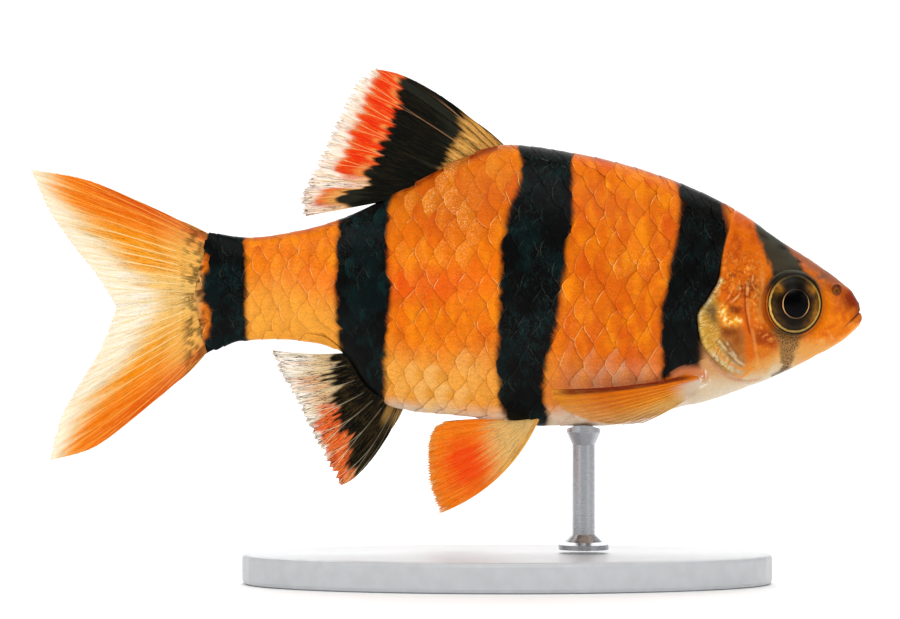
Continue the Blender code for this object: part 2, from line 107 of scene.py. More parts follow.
def along(knots, x):
    # Smooth curve through (x, value) pairs that never overshoots them.
    xs, ys = np.array(knots, float).T
    steps = np.diff(ys) / np.diff(xs)
    total = steps[:-1] + steps[1:]
    same = steps[:-1] * steps[1:] > 0
    inner = np.where(same, 2 * steps[:-1] * steps[1:] / np.where(same, total, 1.0), 0.0)
    slopes = np.concatenate([steps[:1], inner, steps[-1:]])
    x = np.clip(np.asarray(x, float), xs[0], xs[-1])
    i = np.clip(np.searchsorted(xs, x, side="right") - 1, 0, len(xs) - 2)
    span = xs[i + 1] - xs[i]
    t = (x - xs[i]) / span
    rise = t * t * (3 - 2 * t)
    return (
        ys[i] * (1 - rise) + ys[i + 1] * rise
        + span * slopes[i] * t * (1 - t) ** 2 - span * slopes[i + 1] * t * t * (1 - t)
    )


def splinePoints(points, count):
    # Evenly spaced points on a smooth curve through the given ones.
    points = np.array(points, float)
    ends = np.vstack([2 * points[0] - points[1], points, 2 * points[-1] - points[-2]])
    fine = []
    for a, b, c, d in zip(ends, ends[1:], ends[2:], ends[3:]):
        for t in np.arange(24) / 24:
            fine.append(0.5 * (
                2 * b + (c - a) * t + (2 * a - 5 * b + 4 * c - d) * t * t
                + (3 * b - a - 3 * c + d) * t ** 3
            ))
    fine = np.array(fine + [points[-1]])
    reach = np.concatenate([[0], np.cumsum(np.linalg.norm(np.diff(fine, axis=0), axis=1))])
    at = np.linspace(0, reach[-1], count)
    return np.stack([np.interp(at, reach, fine[:, k]) for k in range(fine.shape[1])], -1)


def mottle(points, size, seed):
    # Soft random values from 0 to 1 that change over about size.
    cell = np.asarray(points, float) / size
    base = np.floor(cell).astype(np.int64)
    part = cell - base
    part = part * part * (3 - 2 * part)
    total = np.zeros(cell.shape[:-1])
    for corner in range(2 ** cell.shape[-1]):
        key = np.full(cell.shape[:-1], 1 + seed * 7919, np.int64)
        weight = np.ones(cell.shape[:-1])
        for axis in range(cell.shape[-1]):
            bit = (corner >> axis) & 1
            key = (key * 1103515245 + (base[..., axis] + bit) * 12820163) & 0x7FFFFFFF
            key = (key ^ (key >> 13)) * 1274126177 & 0x7FFFFFFF
            weight = weight * (part[..., axis] if bit else 1 - part[..., axis])
        total += weight * ((key ^ (key >> 16)) & 0xFFFF) / 65535
    return total


def drift(points, size, seed):
    # The same about 0, from -0.5 to 0.5.
    return mottle(points, size, seed) - 0.5


def nearLine(s, h, line, count=60):
    # Distance to a line drawn through (s, h) points, and how far along it, 0 to 1.
    pts = splinePoints(line, count)
    best = np.full(np.shape(s), 1e9)
    share = np.zeros(np.shape(s))
    for k in range(count - 1):
        a, d = pts[k], pts[k + 1] - pts[k]
        t = np.clip(((s - a[0]) * d[0] + (h - a[1]) * d[1]) / (d @ d), 0, 1)
        gap = np.hypot(s - a[0] - t * d[0], h - a[1] - t * d[1])
        closer = gap < best
        best = np.where(closer, gap, best)
        share = np.where(closer, (k + t) / (count - 1), share)
    return best, share


def spot(s, h, centre, radii, lean=0.0, power=2):
    # A soft oval mask, leaning by lean degrees.
    c, d = math.cos(math.radians(lean)), math.sin(math.radians(lean))
    u, v = s - centre[0], h - centre[1]
    u, v = (u * c + v * d) / radii[0], (v * c - u * d) / radii[1]
    return np.exp(-np.abs(u) ** power - np.abs(v) ** power)


def stroke(s, h, line, width, aside=0.0):
    # A soft line that fades out at both ends.
    gap, at = nearLine(s, h, line)
    return bell(gap - aside, width) * np.clip(np.sin(np.pi * at) * 3, 0, 1)


def rgb(r, g, b):
    # A colour as it looks on screen, made linear.
    return np.array([(c / 255) ** 2.2 for c in (r, g, b)])


def blendTo(colour, target, mask):
    mask = np.clip(mask, 0, 1)[..., None]
    return colour * (1 - mask) + target * mask


class Paint:
    # A colour at every point, with others laid over it; each is given as it looks on screen.
    def __init__(self, shape, start):
        self.colour = np.broadcast_to(rgb(*start), shape + (3,)).copy()

    def lay(self, target, mask):
        self.colour = blendTo(self.colour, rgb(*target), mask)


def bodyCut(s):
    # Heights of the back, the belly and the widest place at s.
    top, bottom = along(body["back"], s), along(body["belly"], s)
    return top, bottom, bottom + (top - bottom) * body["widestShare"]


def bodyRing(s, angle):
    top, bottom, widest = bodyCut(s)
    half = along(body["halfWidth"], s) * (1 - body["tailTaper"] * ramp(s, 50.2, 53.1))
    up, across = np.sin(angle), np.cos(angle)
    power = np.where(up > 0, body["backPower"], body["bellyPower"])
    reach = np.where(up > 0, top - widest, widest - bottom)
    h = widest + np.sign(up) * np.abs(up) ** (2 / power) * reach
    y = half * np.sign(across) * np.abs(across) ** (2 / power)
    bulge = body["endBulge"] * ramp(s, 48.5, body["end"]) * (1 - up * up)
    return s + bulge, h, y


def gridQuads(index):
    quads = np.stack([index[:-1, :-1], index[1:, :-1], index[1:, 1:], index[:-1, 1:]], -1)
    return quads.reshape(-1, 4)


def addObject(name, data):
    made = bpy.data.objects.new(name, data)
    bpy.context.scene.collection.objects.link(made)
    return made


def newPiece(name, points, faces, values):
    # A mesh from points in metres, with named values kept at its points.
    mesh = bpy.data.meshes.new(name)
    mesh.from_pydata(points.tolist(), [], faces)
    mesh.validate()
    mesh.shade_smooth()
    for key, value in values.items():
        value = np.asarray(value, np.float32)
        if value.ndim == 2:
            layer = mesh.color_attributes.new(key, "FLOAT_COLOR", "POINT")
            full = np.concatenate([value, np.ones((len(value), 1), np.float32)], 1)
            layer.data.foreach_set("color", full.ravel())
        else:
            layer = mesh.attributes.new(key, "FLOAT", "POINT")
            layer.data.foreach_set("value", value)
    piece = addObject(name, mesh)
    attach(piece, "root")
    return piece


# Where the black bands lie: front and rear edges as (h, s) pairs.
markings = {
    "shoulder": {
        "front": [(-3.9, 13.1), (-0.55, 12.9), (1.3, 12.2), (3.0, 11.2), (4.8, 10.9),
                  (6.7, 10.7), (8.5, 11.0), (9.5, 11.25)],
        "rear": [(-4.8, 15.9), (-2.4, 16.0), (0.6, 16.0), (3.6, 15.4), (6.1, 14.75),
                 (9.3, 14.5), (10.5, 14.6)],
        "foot": (13.2, -3.9, 0.36),   # the band ends on a line through (s, h) that rises by this
    },
    "middle": {
        "front": [(-8.3, 25.0), (-5.3, 25.35), (-2.9, 24.9), (-0.5, 24.4), (2.0, 23.85),
                  (5.15, 23.5), (6.7, 23.1), (10.9, 22.9), (12.9, 23.0)],
        "rear": [(-8.4, 27.8), (-7.0, 28.7), (-3.7, 28.8), (1.1, 28.8), (5.3, 28.6),
                 (7.9, 28.1), (10.9, 26.95), (13.5, 27.1)],
    },
    "rear": {
        "front": [(-6.5, 37.7), (-4.3, 37.9), (-1.35, 37.55), (2.3, 37.25), (5.2, 37.55),
                  (8.95, 37.4), (9.7, 37.1)],
        "rear": [(-2.1, 41.4), (0.2, 41.4), (2.3, 41.6), (4.5, 41.5), (7.5, 41.2), (7.7, 41.2)],
    },
    "tail": {
        "front": [(-1.9, 48.65), (0.0, 48.65), (3.3, 48.6), (6.3, 48.8)],
        "rear": [(-3.6, 53.2), (-2.6, 52.6), (-1.6, 51.7), (-0.6, 51.4), (0.6, 51.45), (1.2, 51.9),
                 (2.2, 52.05), (3.2, 51.9), (3.9, 51.5), (4.8, 51.6), (5.5, 52.2), (6.9, 53.2)],
    },
}
eyeBand = {
    "front": [(3.3, 4.6), (3.9, 4.75), (4.35, 4.95), (4.94, 5.45), (5.54, 5.9), (6.13, 6.5), (7.0, 7.2)],
    "rear": [(3.3, 7.0), (3.75, 7.05), (4.35, 7.25), (4.94, 7.5), (5.54, 7.75), (6.13, 7.95), (7.0, 8.35)],
}
paints = {
    "orange": (238, 122, 10),
    "deep": (218, 92, 3),
    "red": (236, 84, 34),
    "yellow": (248, 172, 66),
    "cream": (234, 216, 190),
    "pink": (226, 150, 100),
    "black": (7, 10, 9),
}
# Height of the pale belly's upper edge, by s.
paleBelly = [(3, -2.6), (7, -3.7), (10, -4.6), (13, -5.0), (18, -6.4), (24, -7.3), (30, -7.4),
             (38, -6.5), (46, -2.4)]
# The gill cover's rear edge, as (s, h) pairs on a flat side view.
gillEdge = [
    (9.0, 11.5), (9.9, 8.6), (10.85, 5.6), (11.25, 3.1), (11.75, 2.05), (12.3, 1.15), (12.9, 0.35),
    (12.93, -0.5), (12.8, -1.5), (12.5, -2.4), (11.9, -3.15), (11.2, -3.8), (10.2, -4.6), (9.0, -5.3),
    (7.4, -7.2),
]
sideView = {"away": 297.0, "middle": (32.6, 0.6)}


def onSideView(s, h, y):
    # The head's markings are placed as seen from the side, where near parts look larger.
    swell = 1 + np.abs(y) / sideView["away"]
    middleS, middleH = sideView["middle"]
    return middleS - (middleS - s) * swell, middleH + (h - middleH) * swell


def insideGill(s, h, y):
    # Signed way in front of the gill cover's rear edge, and the way along it, in millimetres.
    s, h = onSideView(s, h, y)
    edge = splinePoints(gillEdge, 60)
    gap, share = nearLine(s, h, gillEdge, 50)
    order = np.argsort(edge[:, 1])
    return np.where(s < np.interp(h, edge[order, 1], edge[order, 0]), gap, -gap), share * 22.0


def bandMask(s, h, soft, shake):
    mask = np.zeros(np.shape(s))
    for edges in markings.values():
        depth = np.minimum(s - lineAt(h, edges["front"]), lineAt(h, edges["rear"]) - s)
        if "foot" in edges:
            footS, footH, slope = edges["foot"]
            depth = np.minimum(depth, h - footH + (s - footS) * slope)
        mask = np.maximum(mask, ramp(depth + shake, -soft, soft))
    return mask


def bodyPaint(s, h, points, bandS, bandH):
    # The colour of skin and scales alike. bandS, bandH is where the bands are read.
    top, bottom = along(body["back"], s), along(body["belly"], s)
    cloud = drift(points, 2.2, 3)
    fine = drift(points, 0.5, 4)
    fuzz = drift(points, 0.22, 5)
    paint = Paint(s.shape, paints["orange"])
    paint.lay((218, 102, 4), 0.8 * fade(s, 19, 27))
    paint.lay((250, 136, 16), 0.8 * ramp(s, 39, 45))
    blotch = drift(points, 0.95, 6)
    paint.lay(paints["deep"], 0.25 + 0.7 * cloud + 0.5 * blotch)
    paint.lay((248, 140, 18), ramp(0.7 * blotch - cloud, 0.05, 0.35) * 0.55)
    upright = drift(points * [2.0, 0.6, 1.0], 0.9, 12)
    paint.lay((254, 150, 20), ramp(upright, 0.05, 0.35) * 0.4)
    paint.lay((200, 80, 2), ramp(-upright, 0.05, 0.35) * 0.4)
    side = bell(h - 2.6, 1.5) * ramp(s, 27, 31) * fade(s, 44, 50)
    paint.lay(paints["red"], 0.5 * side)
    low = ramp(bottom + 5.2 + cloud * 2 - h, -1.6, 3.2) * ramp(s, 20, 30)
    low = low + ramp(-1.3 - h + cloud, -1.0, 2.0) * ramp(s, 41, 44)
    paint.lay((200, 92, 6), 0.5 * ramp(s, 26, 29) * fade(s, 37, 40) * ramp(h, 5.5, 9.0))
    paint.lay(paints["yellow"], 0.75 * np.clip(low, 0, 1))
    pinkish = ramp(s, 15, 17) * fade(s, 22, 26) * ramp(-h + cloud * 2, 2.5, 6.0)
    paint.lay(paints["pink"], 0.55 * pinkish)
    line = lineAt(s, paleBelly)
    paint.lay(paints["cream"], ramp(line - h + fine * 0.5, -0.7, 0.9) * 0.92)
    breast = fade(s + 0.5 * fine, 13.2, 14.0) * fade(h, -2.2, -0.8)
    paint.lay((204, 154, 100), 0.9 * breast)
    paint.lay((218, 194, 160), breast * fade(h + cloud, -5.8, -4.2))
    white = ramp(bottom + 1.0 - h, 0.0, 0.8) * fade(s, 18, 25)
    paint.lay((226, 212, 192), 0.4 * white)
    rim = ramp(h - top, -0.5, -0.05)
    paint.lay((140, 72, 50), 0.55 * rim)
    dots = drift(points, 0.3, 7)
    paint.lay((214, 98, 6), 0.7 * ramp(s, 51.0, 51.6))
    root = ramp(s + 0.5 * bell(h - 2.2, 1.1), 52.1, 52.6)
    paint.lay((214, 158, 88), 0.85 * root)
    # A dark brown mottled line where the dorsal fin meets the back: painted shade at the join.
    foot = bell(h - top + 0.15, 0.4) * ramp(s, 27.6, 28.6) * fade(s, 38.5, 40.0)
    paint.lay((116, 44, 8), 0.75 * foot * ramp(fine + 0.6 * fuzz, -0.2, 0.15))
    fringe = ramp(s + 0.4 * bell(h - 2.2, 1.0), 51.7, 52.3)
    paint.lay((58, 34, 18), fringe * ramp(dots + 0.5 * fuzz, 0.0, 0.12) * 0.85)
    shake = (0.05 + 0.19 * ramp(s, 13.5, 17)) * fine + 0.28 * cloud
    soft = 0.15 * fade(s, 13, 15)
    halo = bandMask(bandS, bandH, 0.28 + soft, shake + 0.12)
    paint.lay((122, 50, 10), 0.62 * halo)
    band = bandMask(bandS, bandH, 0.16 + soft, shake)
    paint.lay(paints["black"], band)
    shade = band * ramp(cloud + 0.6 * blotch, 0.02, 0.3) * ramp(s, 15, 24)
    paint.lay((12, 42, 42), 0.32 * shade)
    return paint.colour, band


# The head's own forms and paint, as (s, h) on the flat side view.
head = {
    "eye": (5.62, 1.04),
    "eyeOpening": (2.155, 2.34),
    "eyeBall": (2.42, 1.25, 2.6),
    "eyeOut": 2.15,
    "eyeTurn": 7.0,
    "mouth": ((0.15, 0.32), (1.35, -0.85)),
    "mouthDepth": 0.17,
    "mouthWidth": 0.07,
    "lipHeight": 0.12,
    "nostril": ((1.99, 2.12), 0.35),
    "coverRise": 0.26,
    "ridge": [(8.8, 3.3), (9.05, 2.1), (9.03, 0.8), (8.85, -0.3), (8.5, -1.6), (8.29, -2.9),
              (7.93, -4.05), (7.3, -4.3)],
    "cheekRidge": [(7.82, 3.6), (7.85, 2.0), (8.0, 0.7), (7.85, -0.35), (7.1, -1.05), (6.4, -1.35)],
    "coverArcs": [
        [(11.55, -1.6), (10.95, -2.3), (10.3, -2.95), (9.75, -3.5), (9.15, -3.85)],
        [(10.8, -1.85), (10.35, -2.6), (9.85, -3.2)],
    ],
    "warmArcs": [
        [(11.75, -2.2), (11.0, -3.15), (10.2, -3.75), (9.4, -4.05), (8.75, -3.75)],
        [(9.9, -4.85), (9.35, -4.6), (8.8, -4.15), (8.45, -3.85)],
    ],
    "throatFold": [(12.1, -3.3), (11.4, -4.15), (10.6, -4.75), (9.6, -5.05), (8.5, -5.0), (7.6, -4.75)],
    "wrinkles": [
        [(9.2, 2.95), (9.0, 2.3), (9.1, 1.6)], [(9.75, 2.6), (9.65, 2.0), (9.95, 1.5), (10.4, 1.15)],
        [(10.3, 2.2), (10.5, 1.7), (10.75, 1.3)], [(8.6, 3.4), (8.65, 2.7), (8.5, 2.1)],
    ],
    "goldCurl": [(10.6, 1.0), (11.0, 0.55), (11.08, 0.2), (10.85, -0.15), (10.3, -0.35), (9.8, -0.2),
                 (9.5, 0.0)],
    "finFold": [(15.15, -4.76), (14.4, -4.3), (13.6, -4.17), (12.8, -4.35), (12.25, -4.85)],
    "seam": [(8.95, 3.0), (9.2, 2.1), (9.2, 0.9), (9.05, -0.2), (8.75, -1.6)],
    "eyeStreak": [(7.2, -4.75), (6.4, -4.3), (5.7, -3.85)],
    "dottedField": [(8.5, 2.4), (8.45, 0.8), (8.2, -0.6), (7.5, -1.5), (6.5, -1.75)],
    # Blots on the jaw: centre, radii and lean in degrees.
    "paleBlots": [((2.42, -1.5), (0.11, 0.46), -32), ((1.0, -0.55), (0.3, 0.1), -35),
                  ((3.1, -1.9), (0.4, 0.2), 20)],
    "deepBlots": [((2.5, -0.8), (0.6, 0.14), -25), ((2.9, -1.35), (0.5, 0.16), 10),
                  ((1.5, -0.2), (0.5, 0.1), -20)],
    # Cream glints under the pectoral fin's root, each with its width.
    "glints": [([(12.35, -4.1), (12.6, -4.5), (13.0, -5.1)], 0.2),
               ([(13.0, -5.2), (13.7, -5.7), (14.7, -6.15)], 0.17),
               ([(11.9, -4.9), (12.5, -5.4), (13.1, -5.7)], 0.1)],
    # Height of the pale throat's upper edge, by s.
    "throatLine": [(0, -1.9), (2, -2.4), (4, -2.2), (6, -2.6), (8, -3.7), (9.5, -4.1), (12, -4.3)],
    # The gold rim's width, and the brown patch's middle and width below the eye, by height.
    "goldWidth": [(-4.4, 0.2), (-3.6, 0.7), (-2.4, 1.35), (-1.2, 1.75), (0.0, 1.6), (1.2, 0.85),
                  (2.2, 0.45), (3.1, 0.1)],
    "smokeMiddle": [(-4.6, 6.15), (-3.4, 5.85), (-1.3, 5.75)],
    "smokeWidth": [(-4.9, 0.2), (-4.0, 0.4), (-2.8, 0.75), (-1.3, 1.25)],
}


def eyeReach(s, h):
    # 1 on the edge of the eye's opening, less inside it.
    (es, eh), (a, c) = head["eye"], head["eyeOpening"]
    return np.hypot((s - es) / a, (h - eh) / c)


def eyeSurface(s, h):
    # How far out the eyeball's surface lies at (s, h), leaning forward by its turn.
    (es, eh), (a, b, c) = head["eye"], head["eyeBall"]
    left = 1 - ((s - es) / a) ** 2 - ((h - eh) / c) ** 2
    lean = math.tan(math.radians(head["eyeTurn"])) * (s - es)
    return head["eyeOut"] + lean + b * np.sqrt(np.clip(left, 0, 1))


def mouthLine(s, h):
    # Signed distance above the slit between the lips, and how open the slit is there.
    (frontS, frontH), (cornerS, cornerH) = head["mouth"]
    slope = (cornerH - frontH) / (cornerS - frontS)
    gap = (h - frontH - slope * (s - frontS)) * math.cos(math.atan(slope))
    run = (s - frontS) / (cornerS - frontS)
    return gap, fade(run, 0.75, 1.08)


def headRelief(s, h, y, points):
    # Millimetres that the skin stands out from the plain body.
    relief = np.zeros(s.shape)
    inside, _ = insideGill(s, h, y)
    s, h = onSideView(s, h, y)
    # Bare skin on the breast lies flush, and hides the roots of the first scales.
    breast = fade(s, 12.6, 14.2) * fade(h, -4.0, -2.6)
    relief -= skinLook["inset"] * ramp(-inside, -0.15, 0.35) * (1 - breast)
    above = fade(h, 2.6, 6.0)
    below = ramp(h, -5.9, -4.2)
    cover = ramp(inside, 0.0, 0.10) * ramp(s, 8.2, 11.3) * above * below
    relief += head["coverRise"] * cover
    relief -= 0.16 * bell(inside + 0.10, 0.12) * above * below * (s > 8.5)
    # Soft folds: each has a shallow crease with a swelling in front of it.
    for line, deep in ((head["ridge"], 0.10), (head["cheekRidge"], 0.05)):
        gap, at = nearLine(s, h, line)
        ends = np.clip(np.sin(np.pi * at) * 2.5, 0, 1)
        relief -= deep * bell(gap, 0.14) * ends
        relief += 0.6 * deep * bell(gap - 0.45, 0.3) * ends
    for arc in head["coverArcs"] + head["warmArcs"][:1]:
        relief += 0.045 * stroke(s, h, arc, 0.10) - 0.05 * stroke(s, h, arc, 0.12, 0.24)
    for fold in head["wrinkles"]:
        relief += 0.07 * stroke(s, h, fold, 0.09) - 0.05 * stroke(s, h, fold, 0.12, 0.22)
    relief -= 0.05 * stroke(s, h, head["throatFold"], 0.10)
    relief += 0.12 * stroke(s, h, head["goldCurl"], 0.32)
    relief -= 0.14 * spot(s, h, (10.0, 0.55), (0.55, 0.35)) + 0.10 * spot(s, h, (10.45, -1.0), (0.6, 0.4))
    relief -= 0.08 * spot(s, h, (7.7, -1.6), (0.8, 0.8), 10, 3)
    gap, opened = mouthLine(s, h)
    upper = bell(gap - 0.36, 0.28) * 0.55
    lower = bell(gap + 0.36, 0.22)
    relief += head["lipHeight"] * (upper + lower) * fade(s, 0.8, 1.7)
    relief -= head["mouthDepth"] * bell(gap, head["mouthWidth"]) * opened
    corner = np.hypot(s - head["mouth"][1][0] - 0.1, h - head["mouth"][1][1])
    relief -= 0.10 * bell(corner, 0.22)
    relief += 0.15 * spot(s, h, (0.95, 1.95), (0.7, 0.6), -40) - 0.10 * spot(s, h, (0.1, 0.85), (0.3, 0.3))
    (ns, nh), wide = head["nostril"]
    far = np.hypot(s - ns, (h - nh) * 0.85)
    relief += 0.10 * bell(far - wide, 0.10) - 0.24 * bell(far, wide * 0.62)
    relief += 0.12 * spot(s, h, (ns + 0.04, nh + 0.02), (0.07, 0.3), -30)
    gap, at = nearLine(s, h, head["finFold"])
    fold = bell(gap, 0.34) + 0.8 * spot(s, h, (13.7, -4.95), (0.9, 0.45))
    relief += 0.42 * np.clip(fold, 0, 1) * ramp(s, 11.8, 12.4)
    onHead = fade(s, 11.5, 13.0)
    cheek = drift(points, 1.1, 21)
    pores = drift(points, 0.28, 22)
    dents = drift(points, 0.5, 23)
    crumpled = spot(s, h, (9.8, 2.6), (1.9, 1.9), 0, 4)
    relief += onHead * (0.06 * cheek + (0.03 + 0.07 * crumpled) * dents + 0.02 * pores) * ramp(s, 0.6, 2.5)
    return relief


def headPaint(s, h, y, points, colour, band):
    # Colours of the head over the body's own: snout, cheek, gill cover and throat.
    inside, rimWay = insideGill(s, h, y)
    reach = eyeReach(s, h)
    s, h = onSideView(s, h, y)
    cloud = drift(points, 1.3, 8)
    fine = drift(points, 0.32, 9)
    finest = drift(points, 0.14, 10)
    patches = drift(points, 0.7, 11)
    blur = 0.35 * patches + 0.25 * fine
    onHead = ramp(inside, -0.05, 0.08)
    top = along(body["back"], s)

    paint = Paint(s.shape, (218, 106, 12))
    paint.lay((186, 78, 4), 0.35 + 1.3 * cloud)
    paint.lay((238, 132, 28), ramp(fine + 0.5 * patches, 0.1, 0.4) * 0.5 * ramp(s, 5, 8))
    # Nape and cheek are crumpled, with dark cracks and light flecks.
    dapple = spot(s, h, (9.8, 2.9), (1.9, 2.2), 0, 4)
    nape = ramp(h, 3.6, 5.4) * ramp(s, 7.2, 8.4)
    slanted = drift(points * [1.4, 0.55, 1.0] + [0.4, 0, 0] * points[..., 1:2], 0.7, 24)
    paint.lay((200, 86, 0), 0.85 * nape)
    paint.lay((222, 106, 2), 0.6 * nape * ramp(slanted, -0.02, 0.2))
    paint.lay((172, 66, 2), 0.6 * nape * ramp(-slanted - 0.4 * patches, 0.1, 0.3))
    paint.lay((196, 104, 62), 0.7 * ramp(h - top, -0.6, -0.1) * ramp(s, 6.5, 7.5))
    paint.lay((138, 52, 4), dapple * ramp(patches + 0.7 * fine, 0.06, 0.32) * 0.85)
    paint.lay((244, 152, 50), dapple * ramp(finest + 0.6 * fine - 0.6 * patches, 0.2, 0.36) * 0.65)
    # Snout: brown red above, orange between, yellow orange on the jaw.
    front = fade(s, 3.2, 6.0)
    paint.lay((232, 122, 4), 0.85 * front)
    paint.lay((196, 78, 4), 0.75 * spot(s, h, (1.5, 0.35), (1.0, 0.55), 35, 3) * ramp(fine, -0.35, 0.1))
    high = ramp(h - top + blur, -2.0, -1.0) * fade(s, 6.4, 8.0) * ramp(s, 1.0, 2.5)
    paint.lay((196, 96, 34), 0.75 * high)
    high = ramp(h - top + blur, -1.1, -0.3) * fade(s, 6.4, 8.0)
    paint.lay((150, 88, 64), 0.9 * high)
    paint.lay((116, 78, 62), 0.8 * spot(s, h, (2.9, 3.3), (1.3, 0.45), -38) * ramp(fine, -0.3, 0.2))
    paint.lay((186, 84, 22), 0.8 * spot(s, h, (1.3, 1.7), (1.0, 0.8), -40, 3))
    paint.lay((124, 38, 8), 0.95 * spot(s, h, (0.75, 1.35), (0.75, 0.85), -20, 3))
    gap, opened = mouthLine(s, h)
    paint.lay((128, 46, 18), 0.8 * bell(gap - 0.2, 0.22) * fade(s, 0.4, 1.0))
    paint.lay((214, 104, 16), 0.7 * bell(gap + 0.1, 0.2) * ramp(s, 0.8, 1.4) * fade(s, 1.9, 2.5))
    jaw = fade(gap, -0.5, -0.1) * front
    paint.lay((234, 128, 14), 0.8 * jaw)
    paint.lay((180, 96, 48), 0.8 * spot(s, h, (0.2, -0.3), (0.35, 0.5)))
    paint.lay((246, 158, 50), 0.75 * jaw * ramp(patches - 0.4 * fine, -0.05, 0.2))
    paint.lay((200, 92, 6), 0.6 * jaw * ramp(-patches - 0.3 * fine, 0.1, 0.3))
    for blot in head["paleBlots"]:
        paint.lay((238, 170, 92), 0.6 * spot(s, h, *blot, 3) * ramp(fine, -0.35, 0.0))
    for blot in head["deepBlots"]:
        paint.lay((206, 86, 2), 0.7 * spot(s, h, *blot, 3) * ramp(fine, -0.4, 0.0))
    vein = fade(np.abs(drift(points * [1.1, 0.8, 1], 0.8, 14)), 0.02, 0.06)
    paint.lay((196, 84, 4), 0.55 * vein * jaw * fade(s, 2.4, 3.6))
    # Lower cheek and throat grow pale.
    line = lineAt(s, head["throatLine"])
    paint.lay((222, 156, 78), ramp(line + 0.5 - h + blur, -0.5, 0.7) * 0.9)
    paint.lay((214, 178, 130), ramp(line - 0.5 - h + blur, -0.5, 0.6) * ramp(s, 4.0, 6.5))
    paint.lay((216, 200, 172), ramp(line - 1.1 - h + blur, -0.5, 0.4) * ramp(s, 5.0, 7.5))
    # Deep orange between the ridges of the cheek.
    paint.lay((212, 98, 8), 0.95 * spot(s, h, (9.15, -1.3), (0.62, 2.4), 6, 4))
    paint.lay((206, 84, 2), 0.8 * stroke(s, h, head["seam"], 0.3))
    paint.lay((128, 40, 2), 0.9 * stroke(s, h, head["seam"], 0.09))
    # Each wrinkle: painted shade in the crease beside it, and a broken painted highlight along its raised
    # top.
    for fold in head["wrinkles"]:
        paint.lay((128, 46, 6), 0.7 * stroke(s, h, fold, 0.10, 0.16))
        paint.lay((250, 190, 118), 0.75 * stroke(s, h, fold, 0.065) * ramp(finest + fine, -0.2, 0.05))
    paint.lay((152, 58, 0), 0.95 * spot(s, h, (7.55, -1.65), (1.0, 0.68), 12, 4))
    paint.lay((206, 112, 26), 0.85 * spot(s, h, (7.75, -2.75), (0.7, 0.4), 12, 3))
    glow = spot(s, h, (8.3, 2.2), (0.55, 2.0), 3, 4)
    paint.lay((206, 130, 52), 0.55 * glow * ramp(fine + finest, -0.2, 0.2))
    # Broken pale lines along both lips of each cheek ridge's crease: painted highlight.
    for ridge, wide, strong in ((head["ridge"], 0.06, 0.6), (head["cheekRidge"], 0.12, 0.4)):
        away, at = nearLine(s, h, ridge)
        ends = np.clip(np.sin(np.pi * at) * 2.5, 0, 1) * ramp(fine + 0.5 * patches, -0.45, 0.05)
        paint.lay((236, 158, 78), strong * ends * bell(away - 0.06, wide))
    # The grey brown patch that the eye band leaves below the eye.
    far = np.abs(s - lineAt(h, head["smokeMiddle"]))
    wide = lineAt(h, head["smokeWidth"])
    smoke = fade(far + blur, wide * 0.5, wide * 1.25) * ramp(h, -4.9, -3.6) * fade(h, -1.0, -0.6)
    paint.lay((152, 112, 66), 0.92 * smoke)
    streak = stroke(s, h, head["eyeStreak"], 0.14)
    paint.lay((78, 58, 44), 0.8 * streak)
    speck = np.clip(smoke * 1.1 + 0.5 * streak, 0, 1)
    depth = np.minimum(s - lineAt(h, eyeBand["front"]), lineAt(h, eyeBand["rear"]) - s)
    bandEye = ramp(depth + 0.3 * fine, -0.35, 0.15) * ramp(h, 2.0, 2.8)
    paint.lay((50, 54, 45), 0.97 * bandEye)
    paint.lay((74, 76, 62), 0.4 * bandEye * ramp(patches + 0.5 * cloud, -0.05, 0.35))
    paint.lay((28, 30, 24), 0.6 * bandEye * ramp(-patches + 0.4 * fine, 0.05, 0.35))
    # The gill cover: dull gold at the rim with painted glints, painted brown shade in two dents, and pale
    # silver arcs inside it with painted highlights and shade.
    deepIn = inside + blur * 1.2
    coverOn = ramp(s, 8.9, 9.6) * onHead
    lowCover = coverOn * ramp(-h, 0.3, 1.6) * fade(-h, 3.9, 4.8)
    paint.lay((166, 100, 44), 0.92 * lowCover)
    paint.lay((196, 150, 96), lowCover * ramp(-h + blur, 2.6, 3.8) * 0.9)
    goldWide = lineAt(h, head["goldWidth"])
    gold = onHead * fade(deepIn, goldWide * 0.7, goldWide * 1.15) * ramp(h, -4.6, -3.6)
    gold = gold * fade(h, 2.6, 3.3)
    paint.lay((196, 144, 54), 0.95 * gold)
    rim = gold * fade(inside, 0.12, 0.55)
    paint.lay((216, 172, 82), rim * 0.85)
    # Whitish beads along the gold rim: painted glints.
    beadGlint = rim * fade(inside, 0.1, 0.3) * ramp(h, -0.8, 0.6) * ramp(finest, -0.12, 0.04)
    paint.lay((252, 238, 186), 0.85 * beadGlint)
